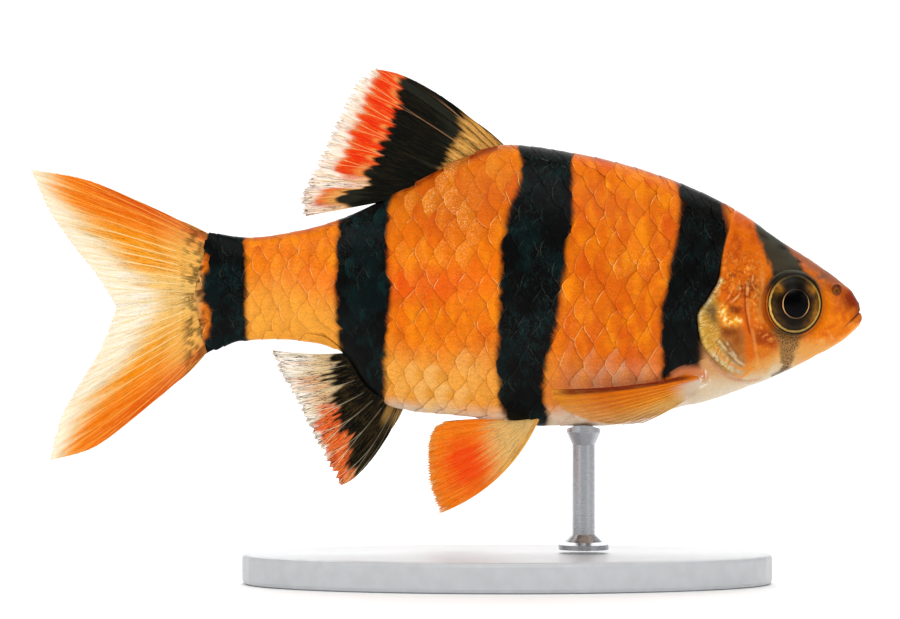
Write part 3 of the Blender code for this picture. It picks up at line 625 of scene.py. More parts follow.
    # Behind the gold the thin gill skin is grey and pale, with a pink edge.
    paint.lay((200, 188, 158), 0.8 * spot(s, h, (10.4, -3.75), (1.1, 0.4), 36, 3) * ramp(fine, -0.4, 0.1))
    paint.lay((206, 178, 140), 0.9 * spot(s, h, (11.65, -3.1), (0.5, 0.35), 35))
    dark = spot(s, h, (11.75, 0.3), (0.95, 0.55), 55, 3) * ramp(finest + 0.5 * fine, -0.75, -0.1)
    paint.lay((74, 64, 44), 0.9 * dark)
    ochre = onHead * bell(inside - goldWide * 0.8, 0.4) * ramp(-h, 0.2, 1.2) * fade(-h, 3.0, 3.8)
    paint.lay((226, 158, 60), 0.5 * ochre * ramp(fine + patches, -0.2, 0.3))
    paint.lay((224, 104, 8), 0.8 * spot(s, h, (10.9, 1.9), (0.8, 0.7), 0, 3) * ramp(fine, -0.4, 0.1))
    # Painted shade: dark brown in the cover's two dents.
    paint.lay((120, 48, 8), 0.9 * spot(s, h, (10.05, 0.6), (0.62, 0.34), 10, 3))
    paint.lay((112, 50, 16), 0.9 * spot(s, h, (10.45, -1.05), (0.75, 0.45), -12, 3))
    paint.lay((140, 66, 8), 0.8 * spot(s, h, (9.9, -1.8), (0.4, 0.5)))
    # Each silver arc: a painted highlight along its ridge, a pale painted sheen on one side and painted
    # shade in the groove on the other.
    silverSheen = np.zeros(s.shape)
    for arc in head["coverArcs"]:
        lit = stroke(s, h, arc, 0.07) * ramp(fine + 0.5 * finest, -0.4, 0.0)
        silverSheen = np.maximum(silverSheen, lit)
        paint.lay((216, 190, 150), 0.45 * stroke(s, h, arc, 0.22, -0.2) * ramp(fine, -0.3, 0.1))
        paint.lay((118, 82, 46), 0.6 * stroke(s, h, arc, 0.10, 0.2))
    paint.lay((230, 208, 166), 0.6 * silverSheen)
    for arc in head["warmArcs"]:
        paint.lay((226, 132, 22), 0.9 * stroke(s, h, arc, 0.11) * ramp(fine, -0.45, -0.1))
    paint.lay((190, 178, 156), 0.22 * spot(s, h, (10.9, -2.5), (0.7, 0.3), 40) * ramp(fine, -0.2, 0.2))
    # A pale dotted field curves behind and below the eye.
    field = stroke(s, h, head["dottedField"], 0.3)
    paint.lay((240, 158, 70), 0.6 * field * ramp(finest + 0.1 * fine, 0.04, 0.2))
    curl = stroke(s, h, head["goldCurl"], 0.42)
    paint.lay((236, 132, 14), 0.95 * curl)
    paint.lay((250, 176, 44), stroke(s, h, head["goldCurl"], 0.36) * ramp(finest + 0.7 * fine, -0.25, 0.0))
    # Near-white sparkles on the raised curl: painted highlights.
    paint.lay((255, 236, 176), stroke(s, h, head["goldCurl"], 0.26) * ramp(finest + 0.4 * fine, 0.1, 0.18))
    metal = np.clip((0.35 * gold + 0.4 * rim) * (1 - 0.9 * dark) + 0.3 * silverSheen + 0.3 * curl, 0, 0.8)
    paint.colour = blendTo(colour, paint.colour, onHead)
    # Pale, thin gill skin shows below the cover, edged by a pink fold.
    skinFold = head["throatFold"]
    under = stroke(s, h, skinFold, 0.5, -0.45) * ramp(fine + patches, -0.5, 0.1)
    paint.lay((214, 190, 158), 0.6 * under)
    paint.lay((196, 124, 96), 0.6 * stroke(s, h, skinFold, 0.10))
    paint.lay((240, 226, 202), 0.65 * stroke(s, h, skinFold, 0.10, -0.2) * ramp(fine, -0.35, 0.1))
    # Painted shade: a dark band just behind the gill cover's rear edge, where the skin dips under it.
    behind = bell(inside + 0.10, 0.10) * ramp(h, -4.6, -3.2) * fade(h, 4, 6)
    paint.lay((70, 44, 24), 0.6 * behind)
    fold = stroke(s, h, head["finFold"], 0.34) * (1 - onHead)
    paint.lay((206, 118, 74), 0.85 * fold)
    # Cream glints on the folds under the fin's root.
    for glint, wide in head["glints"]:
        lit = stroke(s, h, glint, wide) * (1 - onHead) * ramp(finest + 0.7 * fine, -0.22, 0.04)
        paint.lay((250, 240, 222), 0.85 * lit)
    # Painted shade in the mouth's crease between the lips, weaker towards its corner.
    slit = bell(gap, 0.07) * opened * (s < 2)
    slit = slit * (1 - 0.55 * ramp(s, 0.5, 1.1))
    paint.lay((92, 32, 8), 0.8 * slit)
    (ns, nh), wide = head["nostril"]
    far = np.hypot(s - ns, (h - nh) * 0.85)
    paint.lay((150, 66, 16), 0.8 * spot(s, h, (ns + 0.35, nh + 0.2), (0.55, 0.45)))
    paint.lay((150, 84, 34), 0.9 * np.exp(-(far / (wide * 0.75)) ** 4))
    # Painted shade: a dark ring on the inner wall of the nostril's pit, inside its raised rim, and a dark
    # spot in the pit.
    paint.lay((62, 28, 10), 0.85 * bell(far - wide * 0.86, 0.085))
    paint.lay((52, 24, 10), 0.85 * spot(s, h, (ns - 0.1, nh - 0.05), (0.12, 0.2)))
    lid = ramp(h, 1.4, 2.8)
    paint.lay((44, 44, 36), 0.9 * lid * fade(reach, 1.1, 1.2) * onHead)
    paint.lay((112, 108, 90), 0.55 * lid * bell(reach - 1.13, 0.022) * onHead)
    paint.lay((128, 84, 36), 0.5 * (1 - lid) * bell(reach - 1.13, 0.05) * onHead)
    paint.lay((40, 28, 14), 0.9 * bell(reach - 1.035, 0.04) * onHead)
    marks = {
        "metal": metal * onHead, "speck": speck * onHead, "comb": rimWay, "within": inside,
        "flake": (0.05 + 0.8 * dapple) * onHead * ramp(s, 3, 6) * (1 - bandEye) * (1 - smoke) * (h > -3.4),
    }
    return paint.colour, np.maximum(band * (1 - onHead), bandEye * 0.9 * onHead), marks


skinLook = {
    "around": 400,          # points round each ring
    "headStep": 0.07,       # millimetres between rings on the head
    "bodyStep": 0.30,
    "inset": 0.15,          # how far the skin lies under the scales
    "capRings": 9,
}


def stationsOfSkin():
    front = 4.0 - (4.0 - 0.32) * np.cos(np.linspace(0, np.pi / 2, 64))[:-1]
    middle = np.arange(4.0, 13.4, skinLook["headStep"])
    rest = np.arange(13.4, body["end"], skinLook["bodyStep"])
    return np.concatenate([front, middle, rest, [body["end"]]])


def makeSkin():
    stations = stationsOfSkin()
    angle = -np.pi / 2 + 2 * np.pi * np.arange(skinLook["around"]) / skinLook["around"]
    s, h, y = bodyRing(stations[:, None], angle[None, :])
    # Rounded ends: rings that shrink onto the snout and the tail's root.
    turns = np.linspace(np.pi / 2, 0, skinLook["capRings"] + 1)[:-1]
    mid = h[0].mean()
    caps = [(s[0] - 0.24 * math.sin(t), mid + (h[0] - mid) * math.cos(t), y[0] * math.cos(t)) for t in turns]
    mid = h[-1].mean()
    ends = [(s[-1] + 0.3 * math.sin(t), mid + (h[-1] - mid) * (0.6 + 0.4 * math.cos(t)), y[-1] * math.cos(t))
            for t in turns[::-1]]
    s, h, y = (
        np.vstack([[cap[k] for cap in caps], part, [end[k] for end in ends]])
        for k, part in enumerate((s, h, y))
    )
    points = np.stack([s, h, y], -1)
    lengthwise = np.gradient(points, axis=0)
    around = np.roll(points, -1, 1) - np.roll(points, 1, 1)
    normal = unit(np.cross(lengthwise, around))
    outward = points - points.mean(1, keepdims=True)
    normal *= np.sign((normal * outward).sum(-1, keepdims=True))
    front = s < 16
    relief = np.full(s.shape, -skinLook["inset"])
    relief[front] = headRelief(s[front], h[front], y[front], points[front])
    moved = points + normal * relief[..., None]
    # The skin dips to the eye and passes behind it.
    reach = eyeReach(s, h)
    side = np.sign(y)
    eyeLevel = eyeSurface(s, h)
    rimY = eyeLevel + 0.10 * bell(reach - 1.08, 0.06) - 0.03
    natural = np.abs(moved[..., 2])
    onRim = fade(reach, 1.02, 1.42)
    newY = natural * (1 - onRim) + rimY * onRim
    newY = np.where(reach < 1.0, eyeLevel - 0.04 - 0.5 * ramp(1.0 - reach, 0.0, 0.25), newY)
    near = (reach < 1.42) & (np.abs(y) > 0.8)
    moved[..., 2] = np.where(near, side * newY, moved[..., 2])
    colour, band = bodyPaint(s, h, points, s, h)
    colour[front], band[front], marks = headPaint(
        s[front], h[front], y[front], points[front], colour[front], band[front])
    rows, columns = s.shape
    index = np.arange(rows * columns).reshape(rows, columns)
    nextColumn = np.roll(index, -1, 1)
    quads = np.stack([index[:-1], nextColumn[:-1], nextColumn[1:], index[1:]], -1).reshape(-1, 4)
    faces = quads.tolist() + [index[0, ::-1].tolist(), index[-1].tolist()]
    flat = moved.reshape(-1, 3)
    world = toWorld(*flat.T)
    values = {"paint": colour.reshape(-1, 3), "band": band.ravel()}
    for key, mark in marks.items():
        full = np.zeros(s.shape)
        full[front] = mark
        values[key] = full.ravel()
    return newPiece("skin", world, faces, values)


def feed(tree, value, socket):
    # A plain value is set on the socket, and another node's socket is linked to it.
    if hasattr(value, "is_output"):
        tree.links.new(value, socket)
    else:
        socket.default_value = value


def node(tree, kind, **inputs):
    made = tree.nodes.new("ShaderNode" + kind)
    for key, value in inputs.items():
        feed(tree, value, made.inputs[key.replace("_", " ")])
    return made


def newMaterial(name, sockets):
    made = bpy.data.materials.new(name)
    made.use_nodes = True
    shader = made.node_tree.nodes["Principled BSDF"]
    for key, value in sockets.items():
        shader.inputs[key].default_value = value
    return made, made.node_tree, shader


def attribute(tree, name, kind="Fac"):
    made = tree.nodes.new("ShaderNodeAttribute")
    made.attribute_name = name
    return made.outputs[kind]


def objectPlace(tree):
    return tree.nodes.new("ShaderNodeTexCoord").outputs["Object"]


def noise(tree, place, **inputs):
    return node(tree, "TexNoise", Vector=place, **inputs).outputs["Fac"]


def maths(tree, operation, *values):
    made = tree.nodes.new("ShaderNodeMath")
    made.operation = operation
    for socket, value in zip(made.inputs, values):
        feed(tree, value, socket)
    return made.outputs[0]


def times(tree, first, *others):
    for other in others:
        first = maths(tree, "MULTIPLY", first, other)
    return first


def ranged(tree, value, fromLow, fromHigh, toLow, toHigh):
    made = node(tree, "MapRange", From_Min=fromLow, From_Max=fromHigh, To_Min=toLow, To_Max=toHigh)
    feed(tree, value, made.inputs["Value"])
    return made.outputs["Result"]


def mixed(tree, share, first, colour):
    # first, with colour laid over it by share.
    made = tree.nodes.new("ShaderNodeMix")
    made.data_type = "RGBA"
    feed(tree, share, made.inputs["Factor"])
    feed(tree, first, made.inputs["A"])
    made.inputs["B"].default_value = (*colour, 1.0)
    return made.outputs["Result"]


def ramped(tree, value, stops):
    # A colour ramp through (position, colour) stops.
    made = node(tree, "ValToRGB", Fac=value)
    elements = made.color_ramp.elements
    while len(elements) < len(stops):
        elements.new(0.5)
    for element, (at, colour) in zip(elements, stops):
        element.position = at
        element.color = (*colour, 1.0)
    return made.outputs["Color"]


def addBump(tree, shader, height, strength, depth):
    bump = node(tree, "Bump", Strength=strength, Distance=depth, Height=height)
    feed(tree, bump.outputs["Normal"], shader.inputs["Normal"])


def fineGrainGroup():
    # Pigment speckle and micro relief that skin, scales and fins share.
    tree = bpy.data.node_groups.new("fineGrain", "ShaderNodeTree")
    face = tree.interface
    face.new_socket("Colour", in_out="INPUT", socket_type="NodeSocketColor")
    for name, value in (("Size", 6000.0), ("Strength", 0.3), ("Pale", 0.2)):
        made = face.new_socket(name, in_out="INPUT", socket_type="NodeSocketFloat")
        made.default_value = value
    face.new_socket("Colour", in_out="OUTPUT", socket_type="NodeSocketColor")
    face.new_socket("Height", in_out="OUTPUT", socket_type="NodeSocketFloat")
    start, end = tree.nodes.new("NodeGroupInput"), tree.nodes.new("NodeGroupOutput")
    place = objectPlace(tree)
    grain = noise(tree, place, Scale=start.outputs["Size"], Detail=3.0, Roughness=0.65)
    centred = ranged(tree, grain, 0.3, 0.7, -1.0, 1.0)
    lightness = maths(tree, "ADD", times(tree, centred, start.outputs["Strength"]), 1.0)
    toned = node(tree, "HueSaturation", Color=start.outputs["Colour"], Value=lightness)
    dots = noise(tree, place, Scale=start.outputs["Size"], Detail=1.0)
    share = times(tree, ranged(tree, dots, 0.54, 0.64, 0.0, 1.0), start.outputs["Pale"])
    dotted = mixed(tree, share, toned.outputs["Color"], (0.93, 0.60, 0.33))
    feed(tree, dotted, end.inputs["Colour"])
    feed(tree, grain, end.inputs["Height"])
    return tree


fineGrain = fineGrainGroup()


def grained(tree, finish, colour, pale):
    # The fine grain over colour, with the finish's own size and strength.
    group = tree.nodes.new("ShaderNodeGroup")
    group.node_tree = fineGrain
    for socket, value in (
        ("Size", finish["grainSize"]), ("Strength", finish["grain"]), ("Pale", pale), ("Colour", colour),
    ):
        feed(tree, value, group.inputs[socket])
    return group


skinFinish = {
    "shader": {
        "Roughness": 0.36, "Specular IOR Level": 0.06, "Coat Weight": 0.03, "Coat Roughness": 0.12,
    },
    "grainSize": 5200.0, "grain": 0.08, "paleDots": 0.03,
    "crumpleSize": 1900.0, "freckleSize": 9000.0,
    "combLines": 7.5, "combLean": 0.35, "combLength": 2.2,
    "bump": 0.3, "bumpDepth": 0.00004,
}


def skinMaterial():
    made, tree, shader = newMaterial("wetSkin", skinFinish["shader"])
    place, metal = objectPlace(tree), attribute(tree, "metal")
    fewDots = ranged(tree, attribute(tree, "band"), 0.0, 0.6, skinFinish["paleDots"], 0.0)
    grain = grained(tree, skinFinish, attribute(tree, "paint", "Color"), fewDots)
    # Crumpled flakes on cheek and nape: painted shade in the cracks where the bump dips, then painted
    # highlight on the light edges where it rises.
    crumple = noise(
        tree, place, Scale=skinFinish["crumpleSize"], Detail=3.0, Roughness=0.6, Distortion=1.4)
    flake = attribute(tree, "flake")
    crackShade = times(tree, ranged(tree, crumple, 0.46, 0.38, 0.0, 0.6), flake)
    colour = mixed(tree, crackShade, grain.outputs["Colour"], rgb(128, 50, 6))
    light = times(tree, ranged(tree, crumple, 0.58, 0.66, 0.0, 0.55), flake)
    colour = mixed(tree, light, colour, rgb(246, 166, 74))
    # Dark freckles under the eye.
    freckle = noise(tree, place, Scale=skinFinish["freckleSize"], Detail=2.0, Distortion=0.3)
    dots = times(tree, ranged(tree, freckle, 0.50, 0.58, 0.0, 0.85), attribute(tree, "speck"))
    colour = mixed(tree, dots, colour, rgb(70, 52, 34))
    # Fine lines comb the gold of the gill cover, square to its edge.
    within = attribute(tree, "within")
    slanted = maths(tree, "ADD", attribute(tree, "comb"), times(tree, within, skinFinish["combLean"]))
    spread = node(
        tree, "CombineXYZ", X=times(tree, slanted, skinFinish["combLines"]),
        Y=times(tree, within, skinFinish["combLength"]),
    )
    combed = noise(
        tree, spread.outputs["Vector"], Scale=1.0, Detail=3.0, Roughness=0.6, Distortion=0.9)
    dark = times(tree, ranged(tree, combed, 0.53, 0.60, 0.0, 0.85), metal)
    colour = mixed(tree, dark, colour, rgb(96, 62, 20))
    light = times(tree, ranged(tree, combed, 0.47, 0.37, 0.0, 0.9), metal)
    colour = mixed(tree, light, colour, rgb(244, 222, 150))
    feed(tree, colour, shader.inputs["Base Color"])
    feed(tree, ranged(tree, metal, 0.0, 1.0, 0.0, 0.35), shader.inputs["Metallic"])
    height = maths(tree, "ADD", grain.outputs["Height"], times(tree, crumple, flake))
    addBump(tree, shader, height, skinFinish["bump"], skinFinish["bumpDepth"])
    return made


skin = makeSkin()
skin.data.materials.append(skinMaterial())
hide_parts("head", "torso", "tail_stem")
print("skin:", len(skin.data.polygons), "faces")


scales = {
    "lateralLine": [(8, 1.6), (13, 1.3), (22, 0.8), (30, 0.8), (40, 1.3), (54, 2.2)],
    "pitch": [(8, 1.72), (30, 1.66), (42, 1.5), (54, 1.4)],      # from scale to scale in a row
    "rowStep": [(8, 1.52), (28, 1.48), (40, 1.32), (54, 1.22)],  # from row to row
    "reach": 1.24,         # half height of a scale, in row steps
    "pointed": 1.5,        # 2 is a round rear edge, 1 a straight-sided point
    "rounder": 2.0,       # the same, up near the back
    "rise": 0.06,          # height of a rear edge over the solid's surface
    "fall": 0.20,          # from the rear edge down to the root
    "thickness": 0.045,
    "cup": 0.075,          # how far the upper and lower corners dip
    "start": 9.6,
    "end": 51.9,
    "back": [0, 0.04, 0.1, 0.19, 0.32, 0.5, 0.72, 0.98, 1.28, 1.6, 1.95, 2.35, 2.9],  # mm from the edge
    "backPitch": 1.65,     # the pitch that back is given for
    "crosswise": 21,
    "sizeSpread": 0.11,    # how much scales differ in size and lie askew
    "turnSpread": 0.09,
    "waves": [(0.05, 4, 2, 3), (0.03, 9, 3, 5), (0.014, 19, 1, 9)],  # unevenness of a rear edge
    "tuck": 0.22,          # how deep they slip under the gill cover
    "patch": 0.003,        # width of one scale on the baking map
    "gap": {"upper": (28.2, 39.5), "lower": (36.6, 42.6)},  # no midline scales where a fin grows
    "midlineStart": {"upper": 9.2, "lower": 20.5},
    # The table of places on the flank: its reach in s, and past back and belly.
    "flank": (6.0, 53.2),
    "roundTheBack": 0.9,
    "beyond": 1.3,
    "stations": 237,
    "steps": 1001,
    "places": 313,
}


def sideTable():
    # Places on one flank by s and by the way up or down from the side line, and on past
    # the back and the belly.
    stations = np.linspace(*scales["flank"], scales["stations"])
    turn = np.pi / 2 + scales["roundTheBack"]
    angle = np.linspace(-turn, turn, scales["steps"])
    s, h, y = bodyRing(stations[:, None], angle[None, :])
    run = np.hypot(np.diff(h, axis=1), np.diff(y, axis=1))
    reach = np.concatenate([np.zeros((len(stations), 1)), np.cumsum(run, 1)], 1)
    line = along(scales["lateralLine"], stations)
    inner = (angle > -np.pi / 2) & (angle < np.pi / 2)
    share = np.linspace(-scales["beyond"], scales["beyond"], scales["places"])
    grid = np.zeros((len(stations), len(share), 3))
    lower, upper = np.zeros(len(stations)), np.zeros(len(stations))
    for k in range(len(stations)):
        zero = np.interp(line[k], h[k][inner], reach[k][inner])
        way = reach[k] - zero
        lower[k], upper[k] = -np.interp(-np.pi / 2, angle, way), np.interp(np.pi / 2, angle, way)
        at = np.where(share < 0, share * lower[k], share * upper[k])
        for axis, field in enumerate((s, h, y)):
            grid[k, :, axis] = np.interp(at, way, field[k])
    lengthwise = np.gradient(grid, axis=0)
    around = np.gradient(grid, axis=1)
    normal = unit(np.cross(lengthwise, around))
    middle = np.where(np.abs(share) < 0.5, 1.0, 0.0)
    flip = np.sign((normal[..., 2] * middle).sum(1))
    return {"s": stations, "lower": lower, "upper": upper, "grid": grid,
            "normal": normal * flip[:, None, None]}


def flankEdges(table, s):
    return np.interp(s, table["s"], table["lower"]), np.interp(s, table["s"], table["upper"])


def readTable(table, s, a):
    lower, upper = flankEdges(table, s)
    beyond = scales["beyond"]
    share = np.clip(np.where(a < 0, a / lower, a / upper), -beyond, beyond)
    rows, columns = table["grid"].shape[:2]
    i = np.clip((s - table["s"][0]) / (table["s"][1] - table["s"][0]), 0, rows - 1.001)
    j = np.clip((share + beyond) / (2 * beyond) * (columns - 1), 0, columns - 1.001)
    row, column = i.astype(int), j.astype(int)
    down, right = (i - row)[..., None], (j - column)[..., None]

    def readAt(field):
        return (
            field[row, column] * (1 - down) * (1 - right) + field[row + 1, column] * down * (1 - right)
            + field[row, column + 1] * (1 - down) * right + field[row + 1, column + 1] * down * right
        )

    return readAt(table["grid"]), unit(readAt(table["normal"]))


def scaleShape():
    # One scale as a grid of (way in from its rear edge, way across), closed underneath.
    back, columns = np.array(scales["back"]), scales["crosswise"]
    across = np.linspace(-scales["reach"], scales["reach"], columns)
    index = np.arange(len(back) * columns).reshape(len(back), columns)
    faces = gridQuads(index).tolist()
    rim = np.concatenate([index[0, :], index[1:, -1], index[-1, -2::-1], index[-2:0:-1, 0]])
    count = index.size
    for k in range(len(rim)):
        n = (k + 1) % len(rim)
        faces.append([int(rim[n]), count + n, count + k, int(rim[k])][::-1])
    # The underside is closed row by row, so that it follows the body's hollows.
    rows, total = len(back), len(rim)
    leftOf = [total - i for i in range(rows)]
    rightOf = [columns + i - 1 for i in range(rows)]
    faces.append([count + k for k in (*range(columns), rightOf[1], leftOf[1])])
    for i in range(1, rows - 2):
        faces.append([count + k for k in (leftOf[i], rightOf[i], rightOf[i + 1], leftOf[i + 1])])
    faces.append([count + k for k in (leftOf[-2], rightOf[-2], *range(rightOf[-1], leftOf[-1] + 1))])
    grid = np.stack(np.meshgrid(back, across, indexing="ij"), -1).reshape(-1, 2)
    both = np.concatenate([grid, grid[rim]])
    under = np.concatenate([np.zeros(count), np.ones(len(rim))])
    return both, under, faces


def scalePlaces(table, seed):
    # Rear tips in staggered rows, each as s, way round from the side line, and chances.
    rng = np.random.default_rng(seed)
    fine = np.linspace(*scales["flank"], 2000)
    pitch = lineAt(fine[1:], scales["pitch"])
    run = np.concatenate([[0], np.cumsum(np.diff(fine) / pitch)])
    places = []
    for m in range(int(run[-1] * 2) + 1):
        s = float(np.interp(m / 2, run, fine))
        if not scales["start"] <= s <= scales["end"]:
            continue
        step = float(lineAt(s, scales["rowStep"]))
        lower, upper = flankEdges(table, s)
        for row in range(-12, 13):
            a = row * step
            if (m + row) % 2 or not -lower + 0.35 * step < a < upper - 0.3 * step:
                continue
            places.append((s, a, 0.0, rng.normal(0, 1, 4)))
    return places


def midlinePlaces(table, seed):
    # The rows along the back and the belly, left out where a fin grows.
    rng = np.random.default_rng(seed)
    places = []
    for edge, sign in (("upper", 1), ("lower", -1)):
        s = scales["midlineStart"][edge]
        low, high = scales["gap"][edge]
        while s < scales["end"]:
            if not low < s < high:
                a = sign * float(np.interp(s, table["s"], table[edge]))
                places.append((s, a, 0.012, rng.normal(0, 1, 4)))
            s += float(lineAt(s, scales["pitch"]))
    return places


def makeScales(name, sign, places, table):
    shape, under, faces = scaleShape()
    kept = []
    for place in places:
        where, _ = readTable(table, np.array([place[0] - 0.9]), np.array([place[1]]))
        inside = insideGill(*where.T)[0][0]
        bare = (place[0] < 14.2 and where[0, 1] < -1.6) or (place[0] < 18.5 and where[0, 1] < -5.3)
        bare = bare or (40.2 < place[0] < 44.2 and where[0, 1] < -0.45)
        if not bare and inside < -0.1 + 0.5 * (where[0, 1] > 5):
            kept.append((*place, where[0]))
    count, size = len(kept), len(shape)
    tipS, tipA, extra = (np.array([k[i] for k in kept])[:, None] for i in range(3))
    jitter = np.array([k[3] for k in kept])
    centre = np.array([k[4] for k in kept])
    pitch = lineAt(tipS, scales["pitch"])
    step = lineAt(tipS, scales["rowStep"])
    grow = 1 + scales["sizeSpread"] * jitter[:, 1:2]
    turn = scales["turnSpread"] * jitter[:, :1]
    back, v = shape[None, :, 0] * pitch / scales["backPitch"], shape[None, :, 1]
    _, upper = flankEdges(table, tipS)
    pointed = scales["pointed"] + (scales["rounder"] - scales["pointed"]) * ramp(tipA / upper, 0.25, 0.6)
    pointed = pointed + 0.25 * ramp(tipS, 28, 31) + 0.1 * jitter[:, 2:3]
    x = -pitch / 2 * np.abs(v) ** pointed * grow - back
    wave = 0
    for high, often, own, shift in scales["waves"]:
        wave = wave + high * np.sin(v * often + jitter[:, own:own + 1] * shift)
    x = x + wave + 0.07 * jitter[:, 3:4]
    ds = x * np.cos(turn) - step * v * np.sin(turn)
    da = step * v * np.cos(turn) + x * np.sin(turn)
    s = tipS + ds
    rowScale = lineAt(s, scales["rowStep"]) / step
    a = np.where(extra > 0, tipA, tipA * rowScale) + da
    where, normal = readTable(table, s, a)
    # Scales lie flatter along the belly, the back and the gill cover.
    calm = 1 - 0.6 * ramp(-centre[:, 1:2], 4.8, 6.2) * fade(tipS, 24, 27)
    calm = calm * (1 - 0.6 * (extra > 0)) * (1 - 0.3 * ramp(tipA / upper, 0.7, 0.9))
    fall = scales["fall"] * (1 + 0.10 * jitter[:, 2:3]) * calm
    deepest = scales["back"][-1]
    rise = scales["rise"] * calm + extra - fall * (back / deepest) ** 0.9
    rise = rise - scales["cup"] * v * v * calm + 0.01 * jitter[:, 3:4] * v
    rise = rise - under[None, :] * scales["thickness"] * calm
    lifted = where + normal * rise[..., None]
    # Scales near the gill cover tuck under it, and the first ones on the nape grow out of it.
    tuck = ramp(insideGill(lifted[..., 0], lifted[..., 1], lifted[..., 2])[0], -0.25, 0.35)
    lifted -= normal * (scales["tuck"] * tuck)[..., None]
    flat = lifted.reshape(-1, 3)
    mid = np.repeat(centre, size, 0)
    # Each scale shifts the bands' edges a little.
    bandS = flat[:, 0] * 0.85 + (mid[:, 0] + 0.1) * 0.15
    bandH = flat[:, 1] * 0.9 + mid[:, 1] * 0.1
    colour, band = bodyPaint(flat[:, 0], flat[:, 1], flat, bandS, bandH)
    chance = np.repeat(jitter[:, 0], size)
    lighter = rgb(252, 150, 32) - rgb(236, 120, 10)
    tint = np.repeat(1 + 0.012 * jitter[:, 1], size)[:, None]
    colour = colour * tint + lighter * np.clip(0.12 * chance, -0.2, 0.25)[:, None] * (1 - band)[:, None]
    patchy = mottle(mid * [1, 1, 0.01] + [0, 0, 5], 4.5, 31)
    lowFlank = bell(mid[:, 0] - 19.5, 3.6) * ramp(-mid[:, 1], 2.6, 4.6)
    highRear = bell(mid[:, 0] - 32.5, 3.6) * ramp(mid[:, 1], 3.0, 7.0)
    # Low on the front flank each scale ends in a greyish pink field.
    rearField = np.tile(fade(shape[:, 0], 0.25, 0.9), count)
    centreField = fade(shape[:, 0], 0.7, 1.2) * fade(np.abs(shape[:, 1]), 0.5, 0.9)
    centreField = np.tile(centreField, count)
    picked = highRear * ramp(chance, -0.3, 1.1)
    colour = blendTo(colour, rgb(232, 144, 48), 0.4 * picked * centreField * (1 - band))
    broken = ramp(mottle(flat * [1.6, 0.8, 1.0], 0.5, 32), 0.35, 0.65) * ramp(chance, -0.2, 0.9)
    broken = broken * (0.16 + 0.55 * ramp(flat[:, 0], 20, 38))
    colour = blendTo(colour, rgb(12, 44, 44), broken * centreField * band)
    lowRear = bell(mid[:, 0] - 32.8, 3.2) * ramp(-mid[:, 1], 1.5, 5.5) * ramp(chance, -0.5, 0.9)
    colour = blendTo(colour, rgb(246, 200, 126), 0.5 * lowRear * centreField * (1 - band))
    field = lowFlank * rearField * ramp(0.5 + 0.4 * chance, 0.1, 0.5) * (1 - band)
    colour = blendTo(colour, rgb(212, 150, 112), 0.7 * field)
    colour = np.clip(colour, 0.002, 1)
    shine = 0.02 + 0.2 * lowFlank + 0.38 * picked * centreField + 0.25 * (patchy - 0.6)
    shine = np.clip(shine, 0, 1) * (1 - 0.9 * band)
    values = {
        "paint": colour, "band": band, "shine": shine,
        "edge": np.tile(shape[:, 0] * (1 - under), count) - np.tile(0.01 * under, count),
        "across": np.tile(shape[:, 1], count), "chance": chance * 7.3 + np.repeat(tipS[:, 0], size),
    }
    world = toWorld(flat[:, 0], flat[:, 1], flat[:, 2] * sign)
    allFaces = []
    for k in range(count):
        start = k * size
        for face in faces:
            loop = [i + start for i in face]
            allFaces.append(loop if sign > 0 else loop[::-1])
    piece = newPiece(name, world, allFaces, values)
    # The baking map: each scale is a patch at its root's place on the unrolled flank.
    low, high = scales["flank"]
    rootU = 0.04 + 0.92 * (tipS[:, 0] - low - 1) / (high - low - 1)
    rootV = 0.5 + 0.46 * tipA[:, 0] / max(table["lower"].max(), table["upper"].max())
    patch = np.stack([
        rootU[:, None] - scales["patch"] * shape[None, :, 0] / deepest,
        rootV[:, None] + scales["patch"] * 0.4 * shape[None, :, 1],
    ], -1).reshape(-1, 2)
    layer = piece.data.uv_layers.new(name="OFBake")
    corners = np.zeros(len(piece.data.loops), np.int32)
    piece.data.loops.foreach_get("vertex_index", corners)
    layer.data.foreach_set("uv", patch[corners].astype(np.float32).ravel())
    return piece


scaleFinish = {
    "shader": {
        "Roughness": 0.4, "Specular IOR Level": 0.05, "Coat Weight": 0.025, "Coat Roughness": 0.15,
    },
    "grainSize": 8200.0, "grain": 0.14,
    "rays": 7.0,            # how close the fine rays stand
    "rayLength": 1.6,
    "threads": (3800.0, 3800.0, 1500.0),
    "cloudSize": 420.0, "frostSize": 8500.0, "breakSize": 1100.0,
    "streaks": 0.3, "frost": 0.16,
    # Strength of the painted highlight line inside each scale's rear edge, and of the painted shadow line on
    # the edge.
    "glintLine": 0.75, "edgeShadow": 0.34,
    "glintStops": [(0.025, 0.0), (0.055, 1.0), (0.075, 0.8), (0.11, 0.0)],  # mm from the edge
    "bump": 0.35, "bumpDepth": 0.00003,
}


